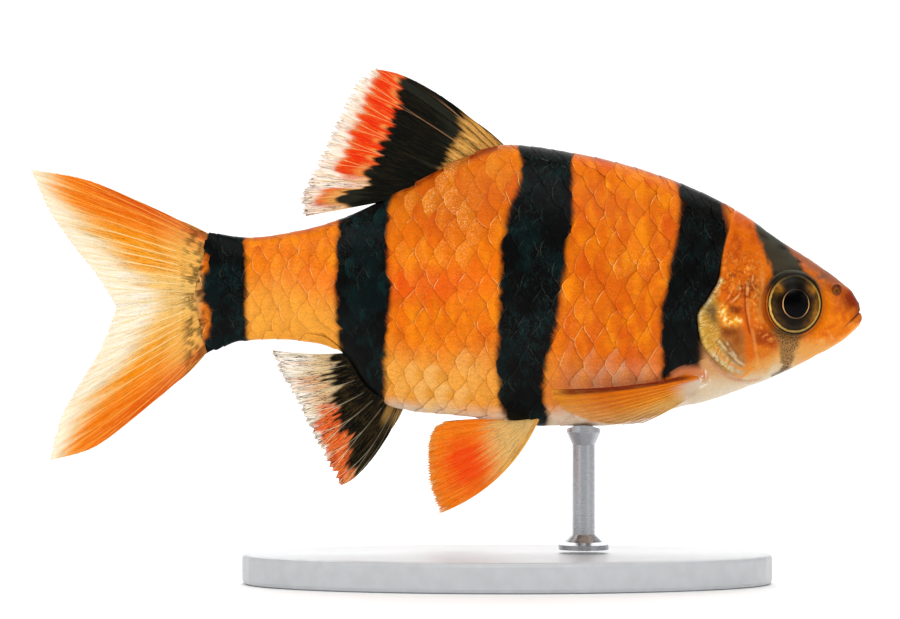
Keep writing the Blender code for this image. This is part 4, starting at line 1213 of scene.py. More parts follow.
def scaleMaterial():
    made, tree, shader = newMaterial("wetScales", scaleFinish["shader"])
    place, edge, band = objectPlace(tree), attribute(tree, "edge"), attribute(tree, "band")
    grain = grained(tree, scaleFinish, attribute(tree, "paint", "Color"), attribute(tree, "shine"))
    # Fine rays fan out over each scale.
    spread = node(
        tree, "CombineXYZ", X=times(tree, attribute(tree, "across"), scaleFinish["rays"]),
        Y=times(tree, edge, scaleFinish["rayLength"]), Z=attribute(tree, "chance"),
    )
    rays = noise(tree, spread.outputs["Vector"], Scale=1.0, Detail=3.0, Roughness=0.6)
    shade = ranged(tree, rays, 0.3, 0.7, 0.9, 1.08)
    # Painted shade: each scale darkens towards its root, where the scale in front lies over it.
    rootShade = ranged(tree, edge, 0.5, 1.7, 1.0, 0.88)
    toned = node(
        tree, "HueSaturation", Color=grain.outputs["Colour"], Value=times(tree, shade, rootShade))
    # Teal threads glimmer in the black, running up and down.
    upright = node(tree, "Mapping", Vector=place, Scale=scaleFinish["threads"])
    threads = noise(tree, upright.outputs["Vector"], Scale=1.0, Detail=3.0, Distortion=0.8)
    clouds = noise(tree, place, Scale=scaleFinish["cloudSize"], Detail=1.0)
    thread = ranged(tree, threads, 0.52, 0.66, 0.0, scaleFinish["streaks"])
    mask = times(tree, thread, ranged(tree, clouds, 0.4, 0.6, 0.1, 1.0), band)
    colour = mixed(tree, mask, toned.outputs["Color"], rgb(16, 60, 58))
    # Grey flecks frost the black here and there.
    frost = noise(tree, place, Scale=scaleFinish["frostSize"], Detail=2.0)
    flecks = ranged(tree, frost, 0.56, 0.66, 0.0, scaleFinish["frost"])
    mask = times(tree, flecks, ranged(tree, clouds, 0.46, 0.62, 0.0, 1.0), band)
    colour = mixed(tree, mask, colour, rgb(78, 88, 82))
    # A broken pale line just inside the rear edge, a painted highlight, and a dark one on the edge itself, a
    # painted shadow line.
    broken = noise(tree, place, Scale=scaleFinish["breakSize"], Detail=2.0)
    some = ranged(tree, broken, 0.48, 0.62, 0.0, scaleFinish["glintLine"])
    fewer = ranged(tree, clouds, 0.42, 0.58, 0.25, 1.0)
    pale = ramped(tree, edge, [(at, (level,) * 3) for at, level in scaleFinish["glintStops"]])
    line = times(tree, pale, some, fewer)
    clear = ranged(tree, band, 0.0, 1.0, 1.0, 0.0)
    colour = mixed(tree, times(tree, line, clear), colour, rgb(250, 206, 130))
    # On black scales the painted highlight line is grey.
    onBlack = ranged(tree, band, 0.5, 1.0, 0.0, 0.15)
    colour = mixed(tree, times(tree, line, onBlack), colour, rgb(150, 156, 140))
    dark = ranged(tree, edge, 0.045, 0.0, 0.0, scaleFinish["edgeShadow"])
    colour = mixed(tree, times(tree, dark, clear), colour, rgb(150, 62, 2))
    feed(tree, colour, shader.inputs["Base Color"])
    addBump(tree, shader, rays, scaleFinish["bump"], scaleFinish["bumpDepth"])
    return made


scaleSkin = scaleMaterial()
flankTable = sideTable()
for side, sign, seed in (("right", -1, 11), ("left", 1, 12)):
    places = scalePlaces(flankTable, seed)
    for part, low, high in (("front", 0.0, 26.0), ("rear", 26.0, 99.0)):
        coat = makeScales(
            "scales_%s_%s" % (side, part), sign, [p for p in places if low <= p[0] < high], flankTable)
        coat.data.materials.append(scaleSkin)
        print(coat.name + ":", len(coat.data.polygons), "faces")
coat = makeScales("scales_midline", 1, midlinePlaces(flankTable, 13), flankTable)
coat.data.materials.append(scaleSkin)
print(coat.name + ":", len(coat.data.polygons), "faces")


# Fins. Edges and roots follow the solids; the rays split twice towards the margin.
fins = {
    "dorsal_fin": {
        "root": (28.5, 38.3), "leading": [(30.4, 15.35), (33.4, 17.6), (36.4, 19.2)],
        "edge": [(38.9, 19.8), (40.2, 18.8), (41.2, 16.9), (42.3, 14.5), (43.3, 12.2), (44.2, 10.4),
                 (44.75, 8.8), (44.3, 7.95)],
        "rays": 9, "bow": (-0.03, 0.0), "fine": 12, "seed": 100, "fray": 0.75, "fleshy": 0.10,
    },
    "anal_fin": {
        "root": (36.5, 41.3), "leading": [(37.5, -9.2), (38.8, -11.3), (40.2, -12.8)],
        "edge": [(41.4, -13.5), (43.6, -9.4), (45.2, -6.0), (46.5, -3.9), (46.9, -2.6)],
        "rays": 7, "bow": (0.05, 0.03), "fine": 10, "seed": 101, "fray": 0.8, "fleshy": 0.10,
    },
    "tail_fin_upper": {
        "root": (0.98, 0.0), "leading": [(54.0, 7.65), (57.9, 9.45), (61.6, 10.95)],
        "edge": [(66.0, 11.75), (64.6, 8.6), (62.6, 5.7), (60.9, 3.6), (59.2, 0.95)],
        "rays": 9, "bow": (-0.02, 0.0), "fine": 15, "seed": 102, "fray": 0.22, "fleshy": 0.28,
    },
    "tail_fin_lower": {
        "root": (-0.98, 0.0), "leading": [(54.0, -5.0), (57.2, -7.6), (60.8, -10.35)],
        "edge": [(64.5, -11.5), (63.8, -8.6), (62.6, -6.2), (60.4, -2.6), (59.1, 0.85)],
        "rays": 8, "bow": (0.03, 0.0), "fine": 14, "seed": 103, "fray": 0.22, "fleshy": 0.28,
    },
    "pelvic_fin": {
        "root": (25.9, 28.4), "rootOut": (1.5, 0.8), "tipOut": (4.2, 1.3), "leading": [],
        "edge": [(33.6, -15.4), (34.3, -13.4), (34.5, -10.8), (34.1, -9.0), (33.0, -8.3)],
        "rays": 9, "bow": (0.11, -0.02), "fine": 10, "seed": 104, "fray": 0.5, "fleshy": 0.12,
    },
    "pectoral_fin": {
        "root": ((13.3, -4.5), (13.9, -6.3)), "tipOut": (5.9, 3.9), "leading": [],
        "edge": [(25.0, -5.6), (24.3, -6.9), (22.3, -7.9), (19.9, -8.4), (17.6, -8.3)],
        "rays": 10, "bow": (0.03, 0.03), "fine": 13, "seed": 105, "fray": 0.3, "fleshy": 0.10,
    },
}
finForm = {
    "leadingRoot": 0.13,
    "rayWidth": 0.065,      # half width of a ray at its root, mm
    "tipWidth": 0.02,
    "web": 0.03,            # half thickness of the membrane, mm
    "rows": 46,
    "perRay": 16,
    "marginPoints": 400,
    "leadPoints": 120,
    "rootIn": 0.7,          # how far the fin's root runs into the body
    "fork": 0.40,           # where a ray splits, and how much later its arms do
    "forkAgain": 0.27,
    "arms": (0.25, 0.125),  # how far the arms and their tips spread, in rays
    "ripple": 0.06,         # mm
    "raySides": 6,
}


def flankWidth(s, h):
    top, bottom, widest = bodyCut(s)
    up = h > widest
    share = np.where(up, (h - widest) / (top - widest), (widest - h) / (widest - bottom))
    power = np.where(up, body["backPower"], body["bellyPower"])
    full = np.clip(1 - np.clip(share, 0, 1) ** power, 0, 1) ** (1 / power)
    return along(body["halfWidth"], s) * full


def bellyHeight(s, y):
    _, bottom, widest = bodyCut(s)
    share = 1 - (np.abs(y) / along(body["halfWidth"], s)) ** body["bellyPower"]
    return widest - (widest - bottom) * share ** (1 / body["bellyPower"])


def finLines(name, spec):
    # Root and tip of each ray of the solid fin, as (s, h, y) in millimetres.
    leading, rays = len(spec["leading"]), spec["rays"]
    tips = list(map(tuple, spec["leading"])) + [tuple(p) for p in splinePoints(spec["edge"], rays)]
    tips = np.array(tips)
    # The leading rays stand close together at the root.
    start = finForm["leadingRoot"] if leading else 0.0
    share = [start * k / leading for k in range(leading)]
    share = np.array(share + [start + (1 - start) * k / (rays - 1) for k in range(rays)])
    if name in ("dorsal_fin", "anal_fin"):
        s = partWay(spec["root"], share)
        knots = body["back"] if name == "dorsal_fin" else body["belly"]
        roots = np.stack([s, along(knots, s), 0 * s], -1)
    elif name.startswith("tail"):
        at = partWay(spec["root"], share)
        top, bottom, widest = bodyCut(body["end"])
        h = widest + np.where(at > 0, top - widest, widest - bottom) * at
        roots = np.stack([body["end"] + body["endBulge"] * (1 - at * at), h, 0 * h], -1)
    elif name == "pelvic_fin":
        s = partWay(spec["root"], share)
        y = partWay(spec["rootOut"], share)
        roots = np.stack([s, bellyHeight(s, y), y], -1)
    else:
        s, h = (partWay(ends, share) for ends in zip(*spec["root"]))
        roots = np.stack([s, h, flankWidth(s, h) + 0.15], -1)
    out = partWay(spec.get("tipOut", (0.0, 0.0)), share)
    tips = np.concatenate([tips, out[:, None]], 1)
    roots = roots + unit(roots - tips) * finForm["rootIn"]
    bows = partWay(spec["bow"], np.arange(len(tips)) / (len(tips) - 1))
    return roots, tips, bows


class Fan:
    # A fin's surface: w runs over its rays from 0 to 1, t from root to tip.
    def __init__(self, name, spec):
        roots, tips, bows = finLines(name, spec)
        self.leading = len(spec["leading"])
        self.count = len(tips)
        self.place, self.bows = np.arange(self.count) / (self.count - 1), bows
        fine = np.linspace(0, 1, finForm["marginPoints"])
        self.fine = fine
        self.roots = np.stack([np.interp(fine, self.place, roots[:, k]) for k in range(3)], -1)
        # The margin has a corner where the leading rays end.
        onLead = finForm["leadPoints"] if self.leading else 1
        onEdge = finForm["marginPoints"] + 1 - onLead
        corner = self.place[self.leading]
        at = np.concatenate([np.linspace(0, corner, onLead)[:-1], np.linspace(corner, 1, onEdge)])
        margin = splinePoints(tips[self.leading:], onEdge)
        if self.leading:
            margin = np.vstack([splinePoints(tips[:self.leading + 1], onLead)[:-1], margin])
        self.tips = np.stack([np.interp(fine, at, margin[:, k]) for k in range(3)], -1)

    def at(self, w, t):
        w = np.clip(w, 0, 1)
        root = np.stack([np.interp(w, self.fine, self.roots[:, k]) for k in range(3)], -1)
        tip = np.stack([np.interp(w, self.fine, self.tips[:, k]) for k in range(3)], -1)
        bow = np.interp(w, self.place, self.bows)
        way = tip - root
        # In (s, h) the solid's bow vector (-z, x) becomes (z, -s).
        bend = np.stack([way[..., 1], -way[..., 0], 0 * bow], -1)
        t = t[..., None]
        return root + way * t + bend * bow[..., None] * 4 * t * (1 - t)


def armsAt(t):
    # How far the two arms of a ray, and the two tips of each arm, have spread at t.
    fork = finForm["fork"]
    arm, tip = finForm["arms"]
    return arm * ramp(t, fork, 1.05), tip * ramp(t, fork + finForm["forkAgain"], 1.1)


def besideRay(w, t, rays):
    # 0 on a ray or a branch of it, 1 midway between two of them.
    part = w * (rays - 1) - np.round(w * (rays - 1))
    arm, tip = armsAt(t)
    gap = np.full(np.shape(w), 9.0)
    for a in (-1, 1):
        for b in (-1, 1):
            for shift in (-1, 0, 1):
                gap = np.minimum(gap, np.abs(part - shift - a * arm - b * tip))
    room = 0.5 - sum(finForm["arms"]) * ramp(t, finForm["fork"], 1.0)
    return np.clip(gap / room, 0, 1)


def tube(path, across, radius, flat, sides):
    # Points and faces of a thin tapering ray along path.
    step = unit(np.gradient(path, axis=0))
    side = unit(np.cross(step, across))
    angle = 2 * np.pi * np.arange(sides) / sides
    ring = (
        side[:, None, :] * np.cos(angle)[None, :, None] * radius[:, None, None]
        + across[:, None, :] * np.sin(angle)[None, :, None] * radius[:, None, None] * flat
    )
    points = (path[:, None, :] + ring).reshape(-1, 3)
    faces = []
    for k in range(len(path) - 1):
        for j in range(sides):
            n = (j + 1) % sides
            faces.append((k * sides + j, k * sides + n, (k + 1) * sides + n, (k + 1) * sides + j))
    faces.append(tuple(range(sides))[::-1])
    faces.append(tuple(range((len(path) - 1) * sides, len(path) * sides)))
    return points, faces


def finNormal(fan, w, t):
    e = 0.004
    dw = fan.at(w + e, t) - fan.at(w - e, t)
    dt = fan.at(w, t + e) - fan.at(w, t - e)
    return unit(np.cross(dw, dt))


def makeFin(name, spec, paintOf, sign=1):
    rng = np.random.default_rng(spec["seed"])
    fan = Fan(name, spec)
    rays, fork, sides = spec["fine"], finForm["fork"], finForm["raySides"]
    points, faces, wAll, tAll, rayAll, rims = [], [], [], [], [], []
    # Membrane: two faces that meet at a frayed margin.
    columns = (rays - 1) * finForm["perRay"] + 1
    w = np.linspace(0, 1, columns)
    ray = w * (rays - 1)
    notch = 0.025 * ramp(np.abs(ray - np.round(ray)), 0.3, 0.5)
    notch = notch + 0.045 * besideRay(w, 1 + 0 * w, rays) + 0.012 * rng.random(columns)
    if fan.leading:
        corner = fan.place[fan.leading]
        notch = notch * ramp(w, corner - 0.03, corner + 0.03)
    short = 1 - 0.012 - notch * spec["fray"]
    t = np.linspace(0, 1, finForm["rows"]) ** 0.95
    ww, tt = np.meshgrid(w, t, indexing="ij")
    reach = tt * short[:, None]
    base = fan.at(ww, reach)
    normal = finNormal(fan, ww, np.clip(reach, 0.01, 0.99))
    ripple = finForm["ripple"] * np.sin(ray * 2 * np.pi)[:, None] * ramp(reach, 0.15, 0.8)
    half = finForm["web"] * (1 - 0.55 * reach) + spec["fleshy"] * fade(reach, 0.0, 0.2)
    for face in (1, -1):
        start = sum(len(p) for p in points)
        points.append((base + normal * (ripple + face * half)[..., None]).reshape(-1, 3))
        wAll.append(ww.ravel())
        tAll.append(reach.ravel())
        rayAll.append(np.zeros(ww.size))
        index = start + np.arange(ww.size).reshape(ww.shape)
        quads = gridQuads(index)
        faces += (quads if face > 0 else quads[:, ::-1]).tolist()
        rims.append(np.concatenate([index[:, -1], index[-1, -2::-1], index[-2::-1, 0], index[0, 1:-1]]))
    for k in range(len(rims[0])):
        n = (k + 1) % len(rims[0])
        faces.append([int(rims[0][k]), int(rims[0][n]), int(rims[1][n]), int(rims[1][k])])

    def addTube(k, first, second, low, high, steps, wide):
        tt = np.linspace(low, high, steps)
        arm, tip = armsAt(tt)
        ww = np.clip((k + (first * arm + second * tip)) / (rays - 1), 0, 1)
        path = fan.at(ww, tt)
        across = finNormal(fan, ww, np.clip(tt, 0.01, 0.99))
        ripple = finForm["ripple"] * np.sin(ww * (rays - 1) * 2 * np.pi) * ramp(tt, 0.15, 0.8)
        path = path + across * ripple[:, None]
        taper = finForm["tipWidth"] + (wide - finForm["tipWidth"]) * (1 - tt / 1.02) ** 0.8
        tubePoints, tubeFaces = tube(path, across, taper, 0.8, sides)
        start = sum(len(p) for p in points)
        points.append(tubePoints)
        faces.extend([[i + start for i in f] for f in tubeFaces])
        wAll.append(np.repeat(ww, sides))
        tAll.append(np.repeat(tt, sides))
        rayAll.append(np.ones(len(tubePoints)))

    # The first ray is whole. The others have a stem, then two arms, then four tips.
    wide = finForm["rayWidth"]
    addTube(0, 0, 0, 0.0, 0.99, 26, wide * 1.3)
    for k in range(1, rays):
        addTube(k, 0, 0, 0.0, fork + 0.08, 12, wide)
        for first in (-1, 1):
            addTube(k, first, 0, fork, fork + 0.33, 9, wide * 0.85)
            for second in (-1, 1):
                end = 1.0 - (0.02 * rng.random() + (0.01 if first == second else 0)) * spec["fray"]
                addTube(k, first, second, fork + 0.25, end, 10, wide * 0.75)
    points = np.vstack(points)
    w, t, isRay = np.concatenate(wAll), np.concatenate(tAll), np.concatenate(rayAll)
    gap = besideRay(w, t, rays) * (1 - isRay)
    colour, sheer, ink, gleam = paintOf(points[:, 0], points[:, 1], w, t, isRay, gap, spec)
    ink, gleam = ink * (1 - 0.9 * isRay), gleam * (1 - 0.8 * isRay)
    world = toWorld(points[:, 0], points[:, 1], points[:, 2] * sign)
    if sign > 0:
        faces = [f[::-1] for f in faces]
    values = {"paint": colour, "sheer": sheer, "ink": ink, "gleam": gleam, "strand": w * 110, "outward": t}
    return newPiece(name, world, faces, values)


def streaks(w, t, count, seed):
    # Fine values that run along the rays.
    flat = np.stack([w * count, t * 1.5, 0 * w], -1)
    return drift(flat, 1.0, seed)


# Edges between a fin's colours, as (h, s) pairs.
finMarks = {
    "dorsalBlack": [(8.4, 40.1), (9.5, 40.4), (10.2, 40.0), (11.0, 39.3), (12.1, 38.65), (13.1, 38.3),
                    (14.0, 38.1), (14.8, 37.95), (16.0, 37.45), (17.05, 36.8), (17.9, 36.8), (18.8, 36.15)],
    "dorsalRed": [(9.1, 42.4), (10.2, 42.1), (11.7, 41.6), (13.1, 41.05), (14.5, 40.7), (15.85, 40.35),
                  (17.2, 39.85), (18.4, 39.3), (19.3, 38.5)],
    "dorsalTan": [(12.0, 33.2), (13.6, 32.3), (14.6, 31.4), (16.2, 31.7)],
    "analBlack": [(-13.2, 39.9), (-11.9, 40.1), (-10.7, 39.8), (-9.5, 40.0), (-8.1, 40.7),
                  (-6.7, 41.0), (-5.0, 41.7), (-2.6, 42.6)],
    "analRed": [(-12.5, 41.2), (-11.0, 41.8), (-9.0, 42.4), (-7.5, 42.2), (-6.6, 41.2)],
}


def dorsalPaint(s, h, w, t, isRay, gap, spec):
    rays = spec["fine"]
    fine, coarse = streaks(w, t, rays * 6, 41), streaks(w, t, rays * 1.0, 42)
    low = fade(h, 9.5, 13.5)
    calm = ramp(w, 0.15, 0.4)
    way = s - 0.8 * fine - 1.6 * coarse * calm * (1 + 0.6 * low) - 0.2 * (gap - 0.4)
    paint = Paint(s.shape, (252, 226, 194))
    paint.lay((226, 150, 100), 0.7 * ramp(coarse + 0.6 * fine, -0.15, 0.3) * gap)
    redLine = lineAt(h, finMarks["dorsalRed"])
    red = fade(way, redLine - 0.9, redLine + 0.4)
    patch = ramp(coarse + 0.5 * fine, -0.16, 0.06)
    red = red * (1 - fade(h, 10.4, 12.2) * (1 - 0.75 * np.maximum(patch, 0.3) * ramp(h, 8.4, 9.2)))
    paint.lay((240, 116, 30), ramp(red, 0.0, 0.8))
    paint.lay((230, 46, 1), red * (0.8 + 0.2 * gap))
    blackLine = lineAt(h, finMarks["dorsalBlack"])
    fringe = bell(way - blackLine - 0.3, 0.28 + 0.5 * low)
    paint.lay((234, 170, 84), fringe * np.maximum(0.6 * ramp(fine, -0.1, 0.3), 0.85 * low))
    black = fade(way, blackLine - 0.18, blackLine + 0.18)
    paint.lay((17, 19, 15), black)
    paint.lay((44, 46, 38), 0.6 * black * ramp(coarse + 0.4 * fine, 0.0, 0.3))
    tanLine = lineAt(h, finMarks["dorsalTan"])
    tan = fade(s - 0.6 * fine - 0.6 * coarse, tanLine - 0.4, tanLine + 0.3)
    tan = tan * fade(h - 0.8 * fine, 15.6, 16.6)
    paint.lay((212, 150, 74), tan * 0.95)
    paint.lay((60, 32, 14), tan * ramp(gap, 0.55, 0.9) * 0.8)
    edge = fade(w, 0.0, 0.02)
    paint.lay((92, 34, 18), edge * 0.9)
    paint.lay((250, 200, 136), isRay * (0.85 - 0.3 * red) * (1 - black))
    # Two rays keep a pale line through the black.
    ray = w * (rays - 1)
    lined = bell(ray - 2, 0.1) + 0.6 * bell(ray - 4, 0.1)
    paint.lay((190, 140, 100), isRay * np.clip(lined, 0, 1) * black * 0.7)
    paint.lay((60, 44, 32), 0.7 * isRay * ramp(t, 0.975, 0.99) * ramp(coarse, -0.1, 0.1))
    solid = np.clip(black + tan + red * 1.2, 0, 1)
    sheer = 0.40 + 0.60 * solid - 0.2 * ramp(t, 0.88, 1.0) * (1 - black) * (1 - red)
    sheer = np.where(isRay > 0.5, np.maximum(sheer, 0.85 - 0.45 * ramp(t, 0.88, 1.0)), sheer)
    ink = 0.55 * (1 - black) * (1 - red) + 0.35 * low * (1 - black) + 0.6 * tan
    gleam = 0.012 * black + 0.6 * tan + 0.4 * (1 - black) * (1 - 0.7 * red)
    return paint.colour, np.clip(sheer, 0.22, 1), ink, gleam


def analPaint(s, h, w, t, isRay, gap, spec):
    rays = spec["fine"]
    fine, coarse = streaks(w, t, rays * 7, 51), streaks(w, t, rays * 1.3, 52)
    calm = ramp(w, 0.2, 0.5)
    way = s - (1.4 * fine + 2.0 * coarse) * (0.1 + 0.9 * calm) - 0.5 * (1 - calm)
    blackLine = lineAt(h, finMarks["analBlack"])
    paint = Paint(s.shape, (240, 224, 194))
    near = fade(way - blackLine, 0.4, 3.4)
    paint.lay((222, 186, 122), 0.9 * near)
    paint.lay((232, 150, 96), 0.6 * ramp(coarse + fine, 0.1, 0.4) * ramp(h, -8.0, -5.0))
    redLine = lineAt(h, finMarks["analRed"])
    red = fade(way, redLine - 0.5, redLine + 0.6) * fade(h, -7.6, -6.4)
    paint.lay((240, 134, 70), ramp(red, 0.0, 0.6))
    paint.lay((232, 88, 34), red * ramp(fine + coarse, -0.3, 0.1) * 0.95)
    black = fade(way, blackLine - 0.2, blackLine + 0.25)
    paint.lay((15, 15, 12), black)
    front = fade(s - 0.8 * fine, 37.2, 38.2) * ramp(h + fine, -9.0, -7.6)
    paint.lay((186, 142, 76), front * 0.6 * ramp(fine + 0.5 * gap, -0.1, 0.35))
    edge = fade(w, 0.0, 0.04) * ramp(-h, 9.0, 11.0)
    paint.lay((84, 38, 34), edge * 0.8)
    outer = ramp(s - blackLine, -1.6, 0.0)
    paint.lay((244, 226, 184), isRay * (0.12 + 0.2 * outer + 0.5 * (1 - black)))
    sheer = 0.34 + 0.66 * np.maximum(black, np.maximum(red * 0.9, near * 0.6))
    sheer = np.where(isRay > 0.5, np.maximum(sheer, 0.75), sheer)
    ink = 0.9 * (1 - black) + 0.3 * front
    gleam = 0.05 * black + 0.35 * (1 - black)
    return paint.colour, np.clip(sheer, 0.22, 1), ink, gleam


def tailPaint(s, h, w, t, isRay, gap, spec):
    rays = spec["fine"]
    fine = streaks(w, t, rays * 5, 61 + spec["seed"])
    coarse = streaks(w, t, rays * 1.2, 62 + spec["seed"])
    margin, _ = nearLine(s, h, spec["edge"], 40)
    # 1 along the lobe's outer edge, 0 in the middle of the fork.
    outer = 1 - w
    margin = margin + 0.8 * fine + 0.45 * coarse + 0.3 * (gap - 0.5)
    outer = outer + 0.1 * coarse
    paint = Paint(s.shape, (255, 240, 208))
    pale = np.interp(outer, [0, 0.3, 0.6, 0.85, 1.0], [3.6, 2.2, 1.6, 1.5, 1.2])
    paint.lay((250, 204, 124), ramp(margin, pale - 1.6, pale + 1.4))
    warmer = ramp(margin, pale - 0.7, pale + 1.8) * ramp(outer, 0.08, 0.34)
    paint.lay((244, 146, 18), warmer)
    deep = ramp(margin, 0.6, 3.2) * ramp(outer, 0.40, 0.68)
    paint.lay((240, 118, 2), deep)
    deepest = ramp(margin, 2.0, 6.5) * ramp(outer, 0.56, 0.86)
    paint.lay((214, 74, 2), deepest * 0.95)
    root = fade(s + 0.7 * fine, 53.2, 56.5)
    paint.lay((240, 184, 96), root * 0.75 * (1 - 0.8 * ramp(outer, 0.5, 0.9)))
    dots = drift(np.stack([s, h, 0 * s], -1), 0.34, 63)
    spots = fade(s + 0.5 * fine, 53.1, 54.0) * ramp(dots + 0.15 * gap, 0.02, 0.14)
    corner = fade(s + 0.8 * fine, 53.0, 54.2) * ramp(outer, 0.78, 0.94)
    paint.lay((72, 44, 22), np.maximum(spots, 0.8 * corner) * 0.75)
    onRay = isRay * (1 - root * 0.4)
    paint.lay((255, 230, 168), onRay * 0.85 * (1 - 0.8 * deep))
    paint.lay((255, 168, 48), onRay * 0.6 * deep)
    sheer = 0.5 + 0.5 * np.clip(ramp(margin, pale - 1.4, pale + 1.2) * 0.8 + warmer + deep, 0, 1)
    sheer = np.where(isRay > 0.5, np.maximum(sheer, 0.85), sheer)
    ink = (0.4 + 0.12 * root + 0.1 * warmer) * (1 - 0.5 * ramp(t, 0.75, 1.0)) * (1 - 0.55 * deep)
    return paint.colour, np.clip(sheer, 0.25, 1), ink, 0.55 - 0.3 * deep


def pelvicPaint(s, h, w, t, isRay, gap, spec):
    rays = spec["fine"]
    fine, coarse = streaks(w, t, rays * 6, 71), streaks(w, t, rays * 1.5, 72)
    paint = Paint(s.shape, (246, 122, 1))
    hot = np.exp(-((t - 0.66) / 0.2) ** 2 - ((w - 0.38) / 0.32) ** 2)
    paint.lay((244, 70, 0), 1.2 * hot + 0.4 * coarse)
    base = fade(t + 0.2 * fine + 0.22 * (w - 0.5), 0.22, 0.54)
    paint.lay((230, 192, 124), base * 0.92)
    lead = fade(w, 0.02, 0.14) * fade(t + 0.3 * fine, 0.35, 0.7)
    paint.lay((222, 156, 80), lead * 0.85)
    margin = ramp(t + 0.1 * fine - 0.04 * gap, 0.9, 1.0)
    paint.lay((250, 190, 120), margin * 0.7)
    paint.lay((255, 180, 60), isRay * (0.3 + 0.35 * margin + 0.3 * base) * (1 - 0.5 * np.clip(hot, 0, 1)))
    sheer = np.where(isRay > 0.5, 0.97, 0.97 - 0.45 * margin)
    quiet = 1 - 0.7 * np.clip(1.2 * hot, 0, 1)
    return paint.colour, sheer, 0.4 * quiet + 0.3 * base, 0.26 * quiet + 0.3 * base + 0.3 * margin


def pectoralPaint(s, h, w, t, isRay, gap, spec):
    rays = spec["fine"]
    coarse = streaks(w, t, rays * 1.5, 82)
    paint = Paint(s.shape, (244, 160, 34))
    warm = fade(w + 0.25 * coarse, 0.15, 0.75) * fade(t, 0.65, 1.0)
    paint.lay((232, 116, 2), warm)
    faded = ramp(w + 0.15 * coarse, 0.4, 0.85)
    paint.lay((238, 190, 112), 0.8 * faded)
    lead = fade(w, 0.035, 0.085) * fade(t, 0.85, 1.0) * ramp(t, 0.05, 0.16)
    paint.lay((112, 24, 10), lead * 0.95)
    pale = fade(t + 0.1 * coarse - 0.1 * w, 0.04, 0.24) * ramp(w, 0.08, 0.3)
    paint.lay((244, 232, 210), pale * 0.9)
    paint.lay((236, 160, 60), isRay * ramp(w, 0.1, 0.14) * 0.35)
    sheer = 0.76 - 0.40 * ramp(t, 0.5, 1.0) - 0.2 * ramp(w, 0.4, 1.0)
    sheer = np.where(isRay > 0.5, sheer + 0.14, sheer)
    sheer = np.maximum(sheer - 0.25 * pale, lead)
    ink = (0.5 + 0.3 * ramp(w, 0.3, 0.7)) * (1 - 0.85 * pale)
    return paint.colour, np.clip(sheer, 0.15, 1), ink, 0.12 + 0 * s


finFinish = {
    "shader": {"Roughness": 0.45, "Specular IOR Level": 0.06},
    "grainSize": 7000.0, "grain": 0.10,
    "hairLength": 3.2,
    "paleHair": (0.8, 0.022),   # noise scale, half width of a line
    "darkHair": (1.0, 0.020),
    "bump": 0.3, "bumpDepth": 0.00002,
}


def finMaterial():
    made, tree, shader = newMaterial("finWeb", finFinish["shader"])
    grain = grained(tree, finFinish, attribute(tree, "paint", "Color"), 0.0)
    # Hairlines run out along the rays: pale ones first, then dark ones.
    spread = node(
        tree, "CombineXYZ", X=attribute(tree, "strand"),
        Y=times(tree, attribute(tree, "outward"), finFinish["hairLength"]),
    )

    def hairline(kind, strength):
        # Thin lines where the noise crosses its middle value.
        size, halfWidth = finFinish[kind]
        waves = noise(tree, spread.outputs["Vector"], Scale=size, Detail=3.0, Roughness=0.6)
        return waves, times(tree, maths(tree, "COMPARE", waves, 0.5, halfWidth), strength)

    waves, pale = hairline("paleHair", attribute(tree, "gleam"))
    colour = mixed(tree, pale, grain.outputs["Colour"], rgb(255, 204, 104))
    _, dark = hairline("darkHair", attribute(tree, "ink"))
    colour = mixed(tree, dark, colour, rgb(66, 34, 14))
    feed(tree, colour, shader.inputs["Base Color"])
    feed(tree, maths(tree, "MAXIMUM", attribute(tree, "sheer"), dark), shader.inputs["Alpha"])
    addBump(tree, shader, waves, finFinish["bump"], finFinish["bumpDepth"])
    return made


finLook = finMaterial()
finPaints = {
    "dorsal_fin": dorsalPaint, "anal_fin": analPaint, "tail_fin_upper": tailPaint,
    "tail_fin_lower": tailPaint, "pelvic_fin": pelvicPaint, "pectoral_fin": pectoralPaint,
}
for name, spec in fins.items():
    paired = "tipOut" in spec
    for side, sign in ((("_right", -1), ("_left", 1)) if paired else (("", 1),)):
        fin = makeFin(name, spec, finPaints[name], sign)
        solid = name + side
        fin.name = fin.data.name = solid + "_rays"
        fin.data.materials.append(finLook)
        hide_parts(solid)
    print(name + ":", len(fin.data.polygons), "faces")


eyeLook = {
    "pupil": 0.455,        # shares of the eye's opening
    "ring": 0.50,
    "dome": 0.06,          # how far the lens bulges, mm
    "shader": {
        "Roughness": 0.3, "Specular IOR Level": 0.05, "Coat Weight": 0.04, "Coat Roughness": 0.22,
    },
    "fleckSize": 2600.0,
    # Where the iris and its rims glow: strength, bearing and spread in degrees, 0 being ahead.
    "amber": [(0.7, -20, 34), (0.9, 40, 13), (0.9, 140, 12), (0.2, 200, 40)],
    "rimGold": [(1.0, 195, 50), (0.55, -5, 48), (0.35, -75, 45)],
    "copper": [(1.0, 190, 45), (0.9, -15, 38), (0.1, -90, 30)],
    "reach": 0.62,         # how far round the ball is built, in half turns
    "rings": 90,
    "around": 128,
}


